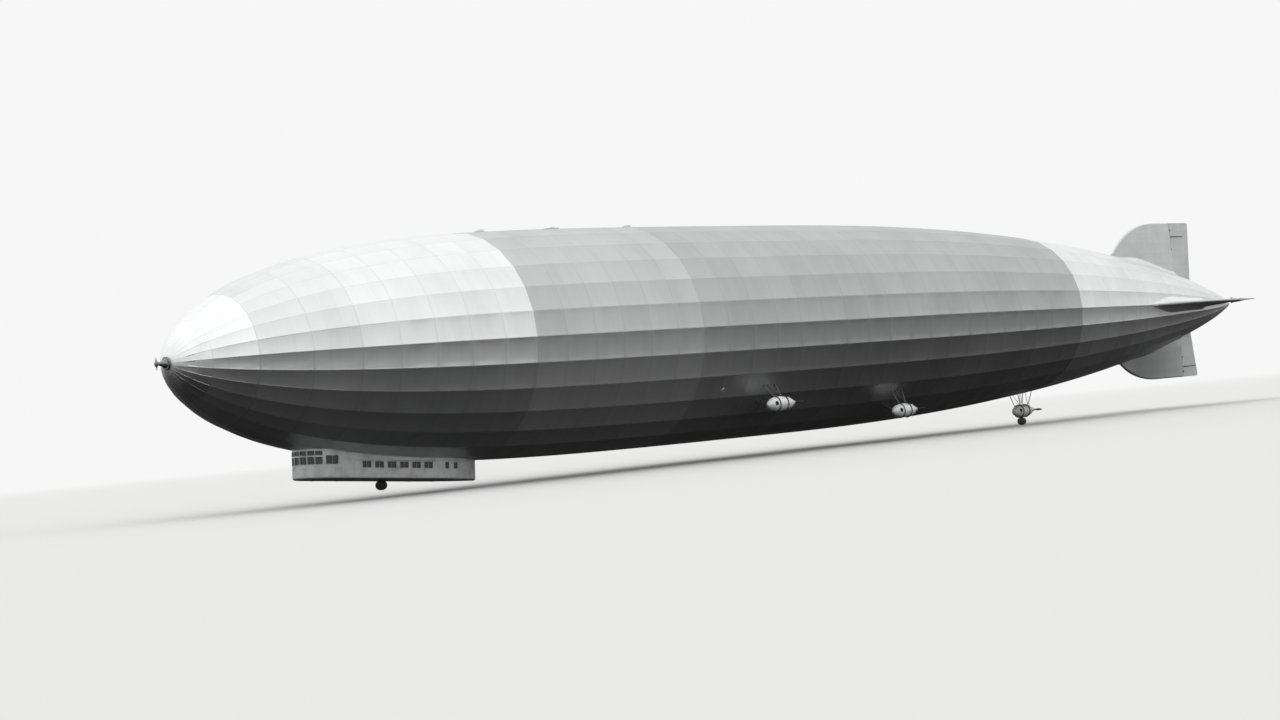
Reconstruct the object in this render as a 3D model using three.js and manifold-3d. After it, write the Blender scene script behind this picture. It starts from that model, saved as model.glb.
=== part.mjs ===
// A rigid airship of the late 1920s, as a 1:10 scale model in millimetres.
// +X runs to the nose, +Y to port and +Z up. The origin is the centre of lift, on the hull's axis.
// A distance called "aft" is measured back from the nose. 100 mm here is one metre of the real ship.
import * as THREE from "three";
import { ConvexGeometry } from "three/addons/geometries/ConvexGeometry.js";
import { mergeVertices } from "three/addons/utils/BufferGeometryUtils.js";
import Module from "manifold-3d";

const wasm = await Module();
wasm.setup();

const SEAT = 0.3; // gap between pieces that rest on each other
const REACH = 40000; // longer than anything, for cutting blocks

// Hull: a 28-sided body of revolution with a full bow and a long, finer stern.
const NOSE_X = 10800;
const HULL_LENGTH = 23660;
const HULL_RADIUS = 1525;
const HULL_SIDES = 28;
const HULL_WALL = 10;
const BOW_LENGTH = 15320;
const BOW_FULLNESS = [7.29, 0.576];
const STERN_LENGTH = 13120;
const STERN_FULLNESS = [2.234, 0.836];
const NOSE_CAP_END = 300;
const TAIL_CONE_START = 22400;
const NOSE_LENGTHS = 4;
const TAIL_LENGTHS = 3;
const HULL_SECTIONS = [
  // name, front aft, rear aft, straight lengths between rings
  ["hull_bow_front", 300, 750, 2],
  ["hull_bow_middle", 750, 1950, 3],
  ["hull_bow_rear", 1950, 4500, 3],
  ["hull_fore_body", 4500, 7500, 2],
  ["hull_mid_body", 7500, 10500, 1],
  ["hull_aft_body", 10500, 13500, 2],
  ["hull_stern_front", 13500, 16850, 2],
  ["hull_stern_middle", 16850, 19800, 2],
  ["hull_stern_rear", 19800, TAIL_CONE_START, 2],
];

// Mooring spindle on the nose, as a turned profile.
const SPINDLE_SHAFT = 40;
const SPINDLE_SIDES = 14;
const SPINDLE_DEPTH = 70; // how far the shaft reaches into the nose
const SPINDLE_HOLE = [-200, 50]; // the nose cap's hole, measured forward of the nose
const SPINDLE_PROFILE = [
  // forward of the nose, radius
  [-12, 78],
  [12, 78],
  [24, 50],
  [84, 26],
  [112, 18],
  [124, 32],
  [142, 32],
  [150, 16],
];

// Tail fins and the surfaces hinged behind them. Spans are measured out from the hull's axis.
const HINGE_AFT = 21790;
const FIN_REAR = HINGE_AFT - 35;
const FIN_INNER_SPAN = 420;
const FIN_ROOT_HALF = 75;
const FIN_REAR_HALF = 56;
const FIN_TIP_HALF = 20;
const FIN_EDGE_HALF = 8;
const FINS = [
  // name, surface, roll from upright, leading edge foot aft, shoulder aft, foot span, tip span, trailing aft
  ["fin_top", "rudder_top", 0, 19900, 21300, 1000, 1510, 22440],
  ["fin_port", "elevator_port", -90, 19500, 20900, 900, 1300, 22330],
  ["fin_bottom", "rudder_bottom", 180, 19790, 20900, 955, 1265, 22290],
  ["fin_starboard", "elevator_starboard", 90, 19500, 20900, 900, 1300, 22330],
];
const FIN_LEAD_IN = 200; // the leading edge leaves the hull this far ahead of its foot
const FIN_CURVE = [
  // control points of the leading edge, as shares of the way from foot to shoulder: aft, up
  [0.2, 0.6],
  [0.55, 1],
];
const FAIRING_STATIONS = [
  // aft of the foot, base below the hull line, base half width, top above the hull line, top half width
  [-250, 30, 6, -20, 4],
  [700, 120, 230, 130, 45],
  [FIN_REAR - 19700, 150, 190, 100, 42],
];
const SURFACE_CLEARANCE = 15; // between the surface's root and the hull
const SURFACE_NOSE = 25;
const SURFACE_EDGE = 5;
const SURFACE_SWEEP = 110; // the trailing edge's slope from root to tip
const SURFACE_CORNER = 30;
const SURFACE_CUTTER = 60; // thicker than the surface, for cutting it
const HINGE_SPOTS = [0.14, 0.5, 0.86]; // along each surface's span
const HINGE_PIN = 6;
const HINGE_BORE = HINGE_PIN + 0.7;
const HINGE_EYE = 15;
const HINGE_LUG = 10;
const HINGE_ARM_HALF = 11;
const HINGE_ARM_SUNK = 20;
const HINGE_NOTCH = 22;
const HINGE_NOTCH_DEPTH = 24;

// Engine cars: egg-shaped pods on struts, a pusher propeller behind each.
const CAR_LENGTH = 540;
const CAR_RADIUS = 102;
const CAR_WIDEST = 0.4;
const CAR_WALL = 4;
const CAR_SIDES = 14;
const CAR_TAIL_HOLE = 22;
const CAR_WINDOW = { ahead: 110, width: 54, height: 68, up: 10 };
const CAR_HATCH = { ahead: -25, length: 74, width: 56 };
const CAR_SHARES = [0, 0.04, 0.13, 0.26, 0.4, 0.56, 0.72, 0.87, 1]; // of the length, from the front
const CAR_LINING_SHARES = [0.13, 0.4, 0.56, 0.87];
const CARS = [
  // name, centre aft, to port, up
  ["car_fore_port", 8965, 1406, -1100],
  ["car_fore_starboard", 8965, -1406, -1100],
  ["car_middle_port", 12040, 1144, -1360],
  ["car_middle_starboard", 12040, -1144, -1360],
  ["car_aft", 16680, 0, -1570],
];
const ENGINE = { length: 180, width: 84, height: 92, ahead: -72 };
const BEARER = { spots: [-0.32, 0.32], half: 8, below: 8, above: 6 };
const HOOP = { places: [56, -110], width: 12, proud: 8 };
const STRUT_RADIUS = 8;
const STRUT_FOOT_DEG = 42;
const STRUT_RISE = 420; // from the car's centre to where the struts meet, inside the hull
const STRUT_SPREAD = 170;
const STRUT_SPLAY = 60;
const BRACE_SPLAY = 40;
const RAIL_RADIUS = 5;
const PROPELLER_BEHIND = 30; // of the car's tail
const SHAFT_RADIUS = 9;
const HUB_PROFILE = [
  // forward of the blades, radius
  [-20, 10],
  [-12, 20],
  [14, 20],
];
const BLADE_SECTION = [
  // share of the chord, share of the thickness
  [0.5, 0],
  [0.1, 0.5],
  [-0.5, 0.1],
  [-0.5, -0.1],
  [0.1, -0.5],
];
const BLADE_STATIONS = [
  // radius, chord, thickness, pitch in degrees
  [12, 26, 20, 62],
  [70, 38, 10, 36],
  [140, 32, 6, 22],
  [170, 14, 3, 18],
];

// Gondola: hung under the bow and tilted so that it follows the hull's rise.
const GONDOLA_FRONT = 1720;
const GONDOLA_FLOOR = -1450;
const GONDOLA_TILT = THREE.MathUtils.degToRad(4.9);
const GONDOLA_LENGTH = 2850;
const GONDOLA_HALF = 300;
const GONDOLA_BOW = 350;
const GONDOLA_STERN_START = 1970;
const GONDOLA_WALL = 10;
const WALL_TOP = 420;
const ROOM_HEIGHT = 200;
const ROOF_THICKNESS = 8;
const FLOOR_BEVEL = 24;
const FLOOR_RIM = 2;
const FRONT_WALL_REAR = 432; // the rounded front wall's rear edge
const BULKHEADS = [
  // name, behind the gondola's front
  ["bulkhead_control_room", 430],
  ["bulkhead_passenger_aft", 1960],
];
const BULKHEAD_THICKNESS = 8;
const PASSAGE = { half: 36, height: 184 };
const CONTROL_WINDOWS = { width: 84, bearings: [-49.5, -33, -16.5, 0, 16.5, 33, 49.5] };
const CONTROL_WINDOW_ROWS = [
  // sill, head
  [151, 235],
  [259, 307],
];
const QUARTER_WINDOW = { front: 221, rear: 390, sill: 151, head: 253 };
const SALOON_WINDOWS = { sill: 112, head: 188, width: 140, pitch: 196, first: 830, count: 6 };
const STERN_WINDOWS = { width: 70, middles: [2120, 2280] };
const GLASS = 3;
const GLASS_LAP = 9;
const DOOR = { front: 500, width: 70, height: 178, sill: 5, thickness: 8, clearance: 5 };
const DOOR_HINGE_OUT = 7;
const DOOR_PANE = { side: 14, sill: 100, head: 160 };
const DOOR_PIN = 3;
const DOOR_BORE = DOOR_PIN + 0.4;
const DOOR_EYES = [42, 146];
const DOOR_EYE = { radius: 6, half: 3, arm: 14, armHalf: 4 };
const DOOR_ARMS = [24, 94, 166];
const DOOR_ARM_HALF = 5;
const RAIL = { out: 22, down: 14, radius: 4.5, from: 330, to: 2020 };
const RAIL_POST = { pitch: 394, radius: 3.5, sunk: 30 };
const BUMPER_PROFILE = [
  // below the mounting plate, radius
  [-40, 26],
  [4, 26],
  [14, 52],
  [52, 74],
  [92, 66],
  [116, 34],
  [120, 20],
];
const BUMPER_SIDES = 14;
const FRONT_BUMPER_BEHIND = 1290;

const PAINT = {
  // colour, roughness, metalness
  fabric: [0xb4b7b8, 0.55, 0.15],
  bow_metal: [0x9da1a3, 0.4, 0.6],
  tail_fabric: [0xa9adae, 0.55, 0.15],
  car: [0xd2d4d4, 0.35, 0.4],
  cabin: [0xbfc2c3, 0.4, 0.35],
  cabin_inside: [0x9c8f78, 0.7, 0.0],
  strut: [0x6d7173, 0.45, 0.6],
  engine: [0x3a3d3f, 0.55, 0.5],
  wood: [0x5b3f28, 0.4, 0.0],
  rubber: [0x3b3a37, 0.8, 0.0],
  glass: [0x26303a, 0.08, 0.0],
};
const material = Object.fromEntries(
  Object.entries(PAINT).map(([name, [color, roughness, metalness]]) => [
    name,
    new THREE.MeshStandardMaterial({ name, color, roughness, metalness }),
  ]),
);

// A closed geometry as a solid, moved by a matrix first.
function solid(geometry, matrix = new THREE.Matrix4()) {
  const bare = geometry.clone().applyMatrix4(matrix);
  bare.deleteAttribute("normal");
  bare.deleteAttribute("uv");
  const merged = mergeVertices(bare, 1e-3);
  const index = merged.index.array;
  const corners = [];
  for (let i = 0; i < index.length; i += 3) {
    const [a, b, c] = index.slice(i, i + 3);
    if (a !== b && b !== c && c !== a) corners.push(a, b, c);
  }
  const vertProperties = merged.attributes.position.array;
  const make = (list) =>
    new wasm.Manifold(new wasm.Mesh({ numProp: 3, vertProperties, triVerts: new Uint32Array(list) }));
  const made = make(corners);
  return made.volume() < 0 ? make(corners.reverse()) : made;
}

function mesh(name, body, paint) {
  const { numProp, vertProperties, triVerts } = body.getMesh();
  const geometry = new THREE.BufferGeometry();
  geometry.setAttribute("position", new THREE.BufferAttribute(vertProperties, numProp));
  geometry.setIndex(new THREE.BufferAttribute(triVerts, 1));
  const flat = geometry.toNonIndexed();
  flat.computeVertexNormals();
  const made = new THREE.Mesh(flat, material[paint]);
  made.name = name;
  return made;
}

function placed(x, y, z, rx = 0, ry = 0, rz = 0) {
  const turn = new THREE.Quaternion().setFromEuler(new THREE.Euler(rx, ry, rz));
  return new THREE.Matrix4().compose(new THREE.Vector3(x, y, z), turn, new THREE.Vector3(1, 1, 1));
}

function block(xLow, xHigh, yLow, yHigh, zLow, zHigh) {
  const geometry = new THREE.BoxGeometry(xHigh - xLow, yHigh - yLow, zHigh - zLow);
  return solid(geometry, placed((xLow + xHigh) / 2, (yLow + yHigh) / 2, (zLow + zHigh) / 2));
}

function rod(from, to, radius, sides = 8) {
  const along = to.clone().sub(from);
  const up = new THREE.Vector3(0, 1, 0);
  const turn = new THREE.Quaternion().setFromUnitVectors(up, along.clone().normalize());
  const middle = from.clone().add(to).multiplyScalar(0.5);
  const matrix = new THREE.Matrix4().compose(middle, turn, new THREE.Vector3(1, 1, 1));
  return solid(new THREE.CylinderGeometry(radius, radius, along.length(), sides), matrix);
}

const point = (x, y, z) => new THREE.Vector3(x, y, z);

// A body turned about the X axis from a list of [x, radius], with a corner straight up.
function turned(profile, sides) {
  const points = profile.map(([x, radius]) => new THREE.Vector2(radius, x));
  return new THREE.LatheGeometry(points, sides).rotateZ(-Math.PI / 2);
}

// An outline in X and Y, extruded from one height to another.
function slab(shape, low, high, curveSegments = 8) {
  const settings = { depth: high - low, bevelEnabled: false, curveSegments };
  return solid(new THREE.ExtrudeGeometry(shape, settings), placed(0, 0, low));
}

const join = (bodies) => bodies.reduce((whole, body) => whole.add(body));

function hullRadius(aft) {
  const bow = Math.max(0, 1 - aft / BOW_LENGTH);
  const stern = Math.max(0, (aft - HULL_LENGTH + STERN_LENGTH) / STERN_LENGTH);
  const bowShare = (1 - bow ** BOW_FULLNESS[0]) ** BOW_FULLNESS[1];
  const sternShare = (1 - stern ** STERN_FULLNESS[0]) ** STERN_FULLNESS[1];
  return HULL_RADIUS * bowShare * sternShare;
}

function stations(front, rear, lengths) {
  return Array.from({ length: lengths + 1 }, (_, i) => front + ((rear - front) * i) / lengths);
}

// The nose is blunt, so its rings crowd towards the tip.
const noseStations = stations(0, 1, NOSE_LENGTHS).map((share) => NOSE_CAP_END * share ** 2);
const tailStations = stations(TAIL_CONE_START, HULL_LENGTH, TAIL_LENGTHS);
const bodyStations = HULL_SECTIONS.flatMap(([, front, rear, lengths]) =>
  stations(front, rear, lengths).slice(1),
);
const hullStations = [...noseStations, ...bodyStations, ...tailStations.slice(1)];
const hullOutside = turned(
  hullStations.map((aft, i) => {
    const atEnd = i === 0 || i === hullStations.length - 1;
    return [NOSE_X - aft + (i === 0 ? SEAT : 0), atEnd ? 0 : hullRadius(aft) + SEAT];
  }),
  HULL_SIDES,
);

// Cuts a group's own piece where it would enter the hull.
function cutByHull(body, group) {
  group.updateWorldMatrix(true, false);
  return body.subtract(solid(hullOutside, group.matrixWorld.clone().invert()));
}

function hullSection(front, rear, lengths) {
  const rings = stations(front, rear - SEAT, lengths);
  const outside = rings.map((aft) => [NOSE_X - aft, hullRadius(aft)]);
  const inside = rings.map((aft) => [NOSE_X - aft, hullRadius(aft) - HULL_WALL]).reverse();
  return solid(turned([...outside, ...inside, outside[0]], HULL_SIDES));
}

function noseCap() {
  const outside = noseStations.map((aft) => [NOSE_X - Math.min(aft, NOSE_CAP_END - SEAT), hullRadius(aft)]);
  const inside = noseStations
    .slice(1)
    .map((aft) => [NOSE_X - Math.min(aft + HULL_WALL, NOSE_CAP_END - SEAT), hullRadius(aft) - HULL_WALL])
    .reverse();
  const shell = solid(turned([...outside, ...inside, [NOSE_X - HULL_WALL, 0]], HULL_SIDES));
  const [rear, front] = SPINDLE_HOLE.map((forward) => point(NOSE_X + forward, 0, 0));
  return shell.subtract(rod(rear, front, SPINDLE_SHAFT + 2 * SEAT, SPINDLE_SIDES));
}

function mooringSpindle() {
  const ends = [SPINDLE_PROFILE[0][0], SPINDLE_PROFILE.at(-1)[0]];
  const outline = [[ends[0], 0], ...SPINDLE_PROFILE, [ends[1], 0]];
  const head = solid(turned(outline, SPINDLE_SIDES), placed(NOSE_X, 0, 0));
  const inside = point(NOSE_X - SPINDLE_DEPTH, 0, 0);
  const shaft = rod(inside, point(NOSE_X + SPINDLE_PROFILE[2][0], 0, 0), SPINDLE_SHAFT, SPINDLE_SIDES);
  return head.subtract(solid(hullOutside)).add(shaft);
}

function tailCone() {
  const outside = tailStations.map((aft) => [NOSE_X - aft, hullRadius(aft)]);
  const inside = tailStations
    .slice(0, -1)
    .map((aft) => [NOSE_X - aft, hullRadius(aft) - HULL_WALL])
    .reverse();
  const end = [NOSE_X - HULL_LENGTH + 6 * HULL_WALL, 0];
  return solid(turned([end, ...inside, ...outside], HULL_SIDES));
}

// A fin stands up from the hull's axis: X along the ship, Y its thickness, Z its span.
function finBlade(foot, shoulder, footSpan, tipSpan) {
  const outline = new THREE.Shape();
  const start = foot - FIN_LEAD_IN;
  const controls = FIN_CURVE.flatMap(([aft, up]) => [
    NOSE_X - foot - aft * (shoulder - foot),
    footSpan + up * (tipSpan - footSpan),
  ]);
  outline.moveTo(NOSE_X - start, FIN_INNER_SPAN);
  outline.lineTo(NOSE_X - start, Math.min(hullRadius(start), footSpan));
  outline.lineTo(NOSE_X - foot, footSpan);
  outline.bezierCurveTo(...controls, NOSE_X - shoulder, tipSpan);
  outline.lineTo(NOSE_X - FIN_REAR, tipSpan);
  outline.lineTo(NOSE_X - FIN_REAR, FIN_INNER_SPAN);
  const thick = slab(outline, -FIN_ROOT_HALF, FIN_ROOT_HALF, 7);
  const upright = thick.transform(placed(0, 0, 0, Math.PI / 2).toArray());
  const taper = new THREE.Shape([
    new THREE.Vector2(-FIN_ROOT_HALF, FIN_INNER_SPAN),
    new THREE.Vector2(FIN_ROOT_HALF, FIN_INNER_SPAN),
    new THREE.Vector2(FIN_TIP_HALF, tipSpan),
    new THREE.Vector2(-FIN_TIP_HALF, tipSpan),
  ]);
  const alongShip = placed(0, 0, 0, Math.PI / 2, Math.PI / 2).toArray();
  const tapered = slab(taper, -REACH, REACH).transform(alongShip);
  const sharpening = new THREE.Shape([
    new THREE.Vector2(NOSE_X - start, -FIN_EDGE_HALF),
    new THREE.Vector2(NOSE_X - start, FIN_EDGE_HALF),
    new THREE.Vector2(NOSE_X - shoulder, FIN_ROOT_HALF),
    new THREE.Vector2(NOSE_X - FIN_REAR, FIN_REAR_HALF),
    new THREE.Vector2(NOSE_X - FIN_REAR, -FIN_REAR_HALF),
    new THREE.Vector2(NOSE_X - shoulder, -FIN_ROOT_HALF),
  ]);
  return upright.intersect(tapered).intersect(slab(sharpening, 0, tipSpan));
}

// The thick root that spreads the fin over the hull's facets.
function finFairing(foot) {
  const corners = FAIRING_STATIONS.flatMap(([behind, base, baseHalf, top, topHalf]) => {
    const aft = Math.min(foot + behind, FIN_REAR);
    const line = hullRadius(aft);
    return [-1, 1].flatMap((side) => [
      point(NOSE_X - aft, side * baseHalf, line - base),
      point(NOSE_X - aft, side * topHalf, line + top),
    ]);
  });
  return solid(new ConvexGeometry(corners));
}

const surfaceRoot = (behindHinge) => hullRadius(HINGE_AFT + behindHinge) + SURFACE_CLEARANCE;
const hingeHeights = (tipSpan) =>
  HINGE_SPOTS.map((share) => surfaceRoot(0) + share * (tipSpan - surfaceRoot(0)));

// Eyes on the fin's rear edge that hold the surface's hinge pin.
function hingeLugs(tipSpan) {
  return hingeHeights(tipSpan).map((height) => {
    const low = height - HINGE_LUG / 2;
    const high = height + HINGE_LUG / 2;
    const onHinge = (span) => point(NOSE_X - HINGE_AFT, 0, span);
    const eye = rod(onHinge(low), onHinge(high), HINGE_EYE, 10);
    const armFront = NOSE_X - FIN_REAR + HINGE_ARM_SUNK;
    const arm = block(NOSE_X - HINGE_AFT, armFront, -HINGE_ARM_HALF, HINGE_ARM_HALF, low, high);
    return eye.add(arm).subtract(rod(onHinge(low - 1), onHinge(high + 1), HINGE_BORE, 10));
  });
}

// A rudder or elevator about its own hinge line: X forward, Z along the span.
function tailSurface(tipSpan, trailing) {
  const chord = trailing - HINGE_AFT;
  const section = new THREE.Shape();
  section.absarc(0, 0, SURFACE_NOSE, -Math.PI / 2, Math.PI / 2);
  section.lineTo(-chord, SURFACE_EDGE);
  section.lineTo(-chord, -SURFACE_EDGE);
  const outline = new THREE.Shape([
    new THREE.Vector2(2 * SURFACE_NOSE, surfaceRoot(0)),
    new THREE.Vector2(2 * SURFACE_NOSE, tipSpan),
    new THREE.Vector2(-chord + SURFACE_CORNER, tipSpan),
    new THREE.Vector2(-chord, tipSpan - SURFACE_CORNER),
    new THREE.Vector2(-chord + SURFACE_SWEEP, surfaceRoot(chord - SURFACE_SWEEP)),
  ]);
  const cut = SURFACE_CUTTER;
  const planform = slab(outline, -cut, cut).transform(placed(0, 0, 0, Math.PI / 2).toArray());
  const leaf = slab(section, surfaceRoot(chord), tipSpan, 6).intersect(planform);
  const notches = hingeHeights(tipSpan).map((height) =>
    block(-HINGE_NOTCH_DEPTH, cut, -cut, cut, height - HINGE_NOTCH / 2, height + HINGE_NOTCH / 2),
  );
  const pin = rod(point(0, 0, surfaceRoot(0) + 4), point(0, 0, tipSpan - 4), HINGE_PIN, 8);
  return notches.reduce((body, notch) => body.subtract(notch), leaf).add(pin);
}

// Engine car radius, from the pointed front (share 0) to the blunter tail (share 1).
function carRadius(share) {
  const front = Math.max(0, 1 - share / CAR_WIDEST);
  const rear = Math.max(0, (share - CAR_WIDEST) / (1.04 - CAR_WIDEST));
  return CAR_RADIUS * (1 - front ** 2.1) ** 0.62 * (1 - rear ** 2.3) ** 0.7;
}

const carX = (share) => CAR_LENGTH * (CAR_WIDEST - share);
const PROPELLER_X = carX(1) - PROPELLER_BEHIND;

// The car's radius at a place along its own X axis, as its straight lengths have it.
function carSkin(x) {
  const share = CAR_WIDEST - x / CAR_LENGTH;
  const next = CAR_SHARES.findIndex((ring) => ring >= share);
  const [low, high] = CAR_SHARES.slice(next - 1, next + 1);
  return THREE.MathUtils.mapLinear(share, low, high, carRadius(low), carRadius(high));
}

// The outside of a car, grown by a skin, as one closed body about the widest ring.
function carBody(skin) {
  const profile = CAR_SHARES.map((share) => [carX(share), carRadius(share) + (share ? skin : 0)]);
  return solid(turned([...profile, [carX(1), 0]], CAR_SIDES));
}

// The hollow inside a car, drawn in by a margin.
function carHollow(margin) {
  const profile = CAR_LINING_SHARES.map((share) => [carX(share), carRadius(share) - CAR_WALL - margin]);
  const tip = carX(0) - 6 * CAR_WALL;
  const tail = carX(1) + CAR_WALL + margin;
  const outline = [[tip, 0], ...profile, [tail, 0.8 * carRadius(1)], [tail, 0]];
  return solid(turned(outline, CAR_SIDES));
}

function carShell() {
  const window = new THREE.CylinderGeometry(0.5, 0.5, 1, 8);
  window.scale(CAR_WINDOW.width, 4 * CAR_RADIUS, CAR_WINDOW.height);
  const hatch = block(
    CAR_HATCH.ahead - CAR_HATCH.length / 2,
    CAR_HATCH.ahead + CAR_HATCH.length / 2,
    -CAR_HATCH.width / 2,
    CAR_HATCH.width / 2,
    0,
    2 * CAR_RADIUS,
  );
  const tailHole = rod(point(carX(1) - 20, 0, 0), point(carX(1) + 60, 0, 0), CAR_TAIL_HOLE, 10);
  return carBody(0)
    .subtract(carHollow(0))
    .subtract(solid(window, placed(CAR_WINDOW.ahead, 0, CAR_WINDOW.up)))
    .subtract(hatch)
    .subtract(tailHole);
}

// The engine stands on two cross bearers that reach the car's sides.
function engineBlock() {
  const { length, width, height, ahead } = ENGINE;
  const [front, foot] = [ahead + length / 2, -height / 2];
  const engine = block(front - length, front, -width / 2, width / 2, foot, height / 2);
  const bearers = BEARER.spots.map((share) => {
    const x = ahead + share * length;
    const { half, below, above } = BEARER;
    return block(x - half, x + half, -CAR_RADIUS, CAR_RADIUS, foot - below, foot + above);
  });
  return join([engine, ...bearers]).intersect(carHollow(SEAT));
}

function propeller() {
  const blades = [-1, 1].map((side) => {
    const rings = BLADE_STATIONS.map(([radius, chord, thickness, pitch]) => {
      const turn = THREE.MathUtils.degToRad(pitch) * side;
      return BLADE_SECTION.map(([chordShare, thicknessShare]) => {
        const across = chordShare * chord;
        const thick = thicknessShare * thickness;
        const x = across * Math.sin(turn) + thick * Math.cos(turn);
        const z = across * Math.cos(turn) - thick * Math.sin(turn);
        return point(x, side * radius, z);
      });
    });
    return join(rings.slice(1).map((ring, i) => solid(new ConvexGeometry([...rings[i], ...ring]))));
  });
  const hubOutline = [[HUB_PROFILE[0][0], 0], ...HUB_PROFILE, [HUB_PROFILE.at(-1)[0], 0]];
  const hub = solid(turned(hubOutline, 12));
  const shaftEnd = ENGINE.ahead - ENGINE.length / 2 - SEAT - PROPELLER_X;
  return join([hub, ...blades, rod(point(0, 0, 0), point(shaftEnd, 0, 0), SHAFT_RADIUS, 10)]);
}

// Two hoops round the car, joined by a rail, with struts up to the hull, which lies in direction "inward".
// The rail runs on the lower side, clear of the roof hatch.
function carCradle(inward) {
  const outer = CAR_RADIUS + HOOP.proud;
  const hoopAt = HOOP.places;
  const hoops = hoopAt.map((x) => {
    const [front, rear] = [x + HOOP.width / 2, x - HOOP.width / 2];
    const profile = [
      [front, carSkin(front) + SEAT],
      [front, outer],
      [rear, outer],
      [rear, carSkin(rear) + SEAT],
    ];
    return solid(turned([...profile, profile[0]], CAR_SIDES));
  });
  const onHoop = (x, side) => {
    const angle = inward + side * THREE.MathUtils.degToRad(STRUT_FOOT_DEG);
    return point(x, outer * Math.cos(angle), outer * Math.sin(angle));
  };
  const onHull = (x, side) => {
    const across = inward + Math.PI / 2;
    return point(
      x,
      STRUT_RISE * Math.cos(inward) + side * STRUT_SPREAD * Math.cos(across),
      STRUT_RISE * Math.sin(inward) + side * STRUT_SPREAD * Math.sin(across),
    );
  };
  const sides = [-1, 1];
  const lower = Math.cos(inward) > 0 ? -1 : 1;
  const rail = rod(onHoop(hoopAt[0], lower), onHoop(hoopAt[1], lower), RAIL_RADIUS, 6);
  const struts = sides.flatMap((side) => [
    rod(onHoop(hoopAt[0], side), onHull(hoopAt[0] + STRUT_SPLAY, side), STRUT_RADIUS, 6),
    rod(onHoop(hoopAt[1], side), onHull(hoopAt[1] - STRUT_SPLAY, side), STRUT_RADIUS, 6),
    rod(onHoop(hoopAt[1], side), onHull(hoopAt[0] + BRACE_SPLAY, side), 0.7 * STRUT_RADIUS, 6),
  ]);
  return join([...hoops, rail, ...struts]);
}

// The gondola's plan, drawn in by a margin: rounded bow, straight sides, pointed stern.
function gondolaPlan(margin) {
  const half = GONDOLA_HALF - margin;
  const end = -GONDOLA_LENGTH + 2 * margin;
  const plan = new THREE.Shape();
  plan.absellipse(-GONDOLA_BOW, 0, GONDOLA_BOW - margin, half, -Math.PI / 2, Math.PI / 2);
  plan.lineTo(-GONDOLA_STERN_START, half);
  plan.bezierCurveTo(-GONDOLA_STERN_START - 400, half, end + 120, 0.55 * half, end, 0);
  plan.bezierCurveTo(end + 120, -0.55 * half, -GONDOLA_STERN_START - 400, -half, -GONDOLA_STERN_START, -half);
  return plan;
}

function gondolaFloor() {
  const geometry = new THREE.ExtrudeGeometry(gondolaPlan(0), {
    depth: 4,
    bevelThickness: FLOOR_BEVEL,
    bevelSize: FLOOR_BEVEL,
    bevelOffset: -FLOOR_BEVEL,
    bevelSegments: 2,
    curveSegments: 9,
  });
  const below = block(-REACH, REACH, -REACH, REACH, -REACH, 0);
  return solid(geometry, placed(0, 0, -FLOOR_RIM)).intersect(below);
}

// The whole wall as a closed band, from the floor up into the hull.
function gondolaBand(outer, inner, low, high) {
  return slab(gondolaPlan(outer), low, high, 9).subtract(slab(gondolaPlan(inner), low - 1, high + 1, 9));
}

const lengthwise = (front, rear) => block(-rear, -front, -REACH, REACH, -REACH, REACH);

function controlWindows() {
  return CONTROL_WINDOWS.bearings.flatMap((bearing) => {
    const turn = placed(-GONDOLA_BOW, 0, 0, 0, 0, THREE.MathUtils.degToRad(bearing));
    const { width } = CONTROL_WINDOWS;
    return CONTROL_WINDOW_ROWS.map(([sill, head]) =>
      block(GONDOLA_HALF / 2, 2 * GONDOLA_BOW, -width / 2, width / 2, sill, head).transform(turn.toArray()),
    );
  });
}

function quarterWindows() {
  const { front, rear, sill, head } = QUARTER_WINDOW;
  const across = [
    [GONDOLA_HALF / 2, REACH],
    [-REACH, -GONDOLA_HALF / 2],
  ];
  return across.map(([low, high]) => block(-rear, -front, low, high, sill, head));
}

function saloonWindows() {
  const { width, pitch, first, count, sill, head } = SALOON_WINDOWS;
  return Array.from({ length: count }, (_, i) => {
    const middle = -first - i * pitch;
    return block(middle - width / 2, middle + width / 2, -REACH, REACH, sill, head);
  });
}

function tailWindows() {
  const { sill, head } = SALOON_WINDOWS;
  const half = STERN_WINDOWS.width / 2;
  return STERN_WINDOWS.middles.map((behind) =>
    block(-behind - half, -behind + half, -REACH, REACH, sill, head),
  );
}

const without = (body, cutters) => cutters.reduce((left, cutter) => left.subtract(cutter), body);

const doorHinge = { x: -DOOR.front + 7, y: -GONDOLA_HALF - DOOR_HINGE_OUT };

function doorway() {
  const { front, width, height, sill, clearance } = DOOR;
  const rear = -front - width - clearance;
  return block(rear, -front + clearance, -REACH, 0, sill - clearance + 1, sill + height + clearance);
}

// Eyes on the wall that hold the door's pin.
function doorEyes() {
  const { x, y } = doorHinge;
  const { radius, half, arm, armHalf } = DOOR_EYE;
  return DOOR_EYES.map((height) => {
    const [low, high] = [height - half, height + half];
    const eye = rod(point(x, y, low), point(x, y, high), radius, 12);
    const foot = block(x, x + arm, y - armHalf, -GONDOLA_HALF + armHalf - 1, low, high);
    const bore = rod(point(x, y, low - 1), point(x, y, high + 1), DOOR_BORE, 12);
    return eye.add(foot).subtract(bore);
  });
}

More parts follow.
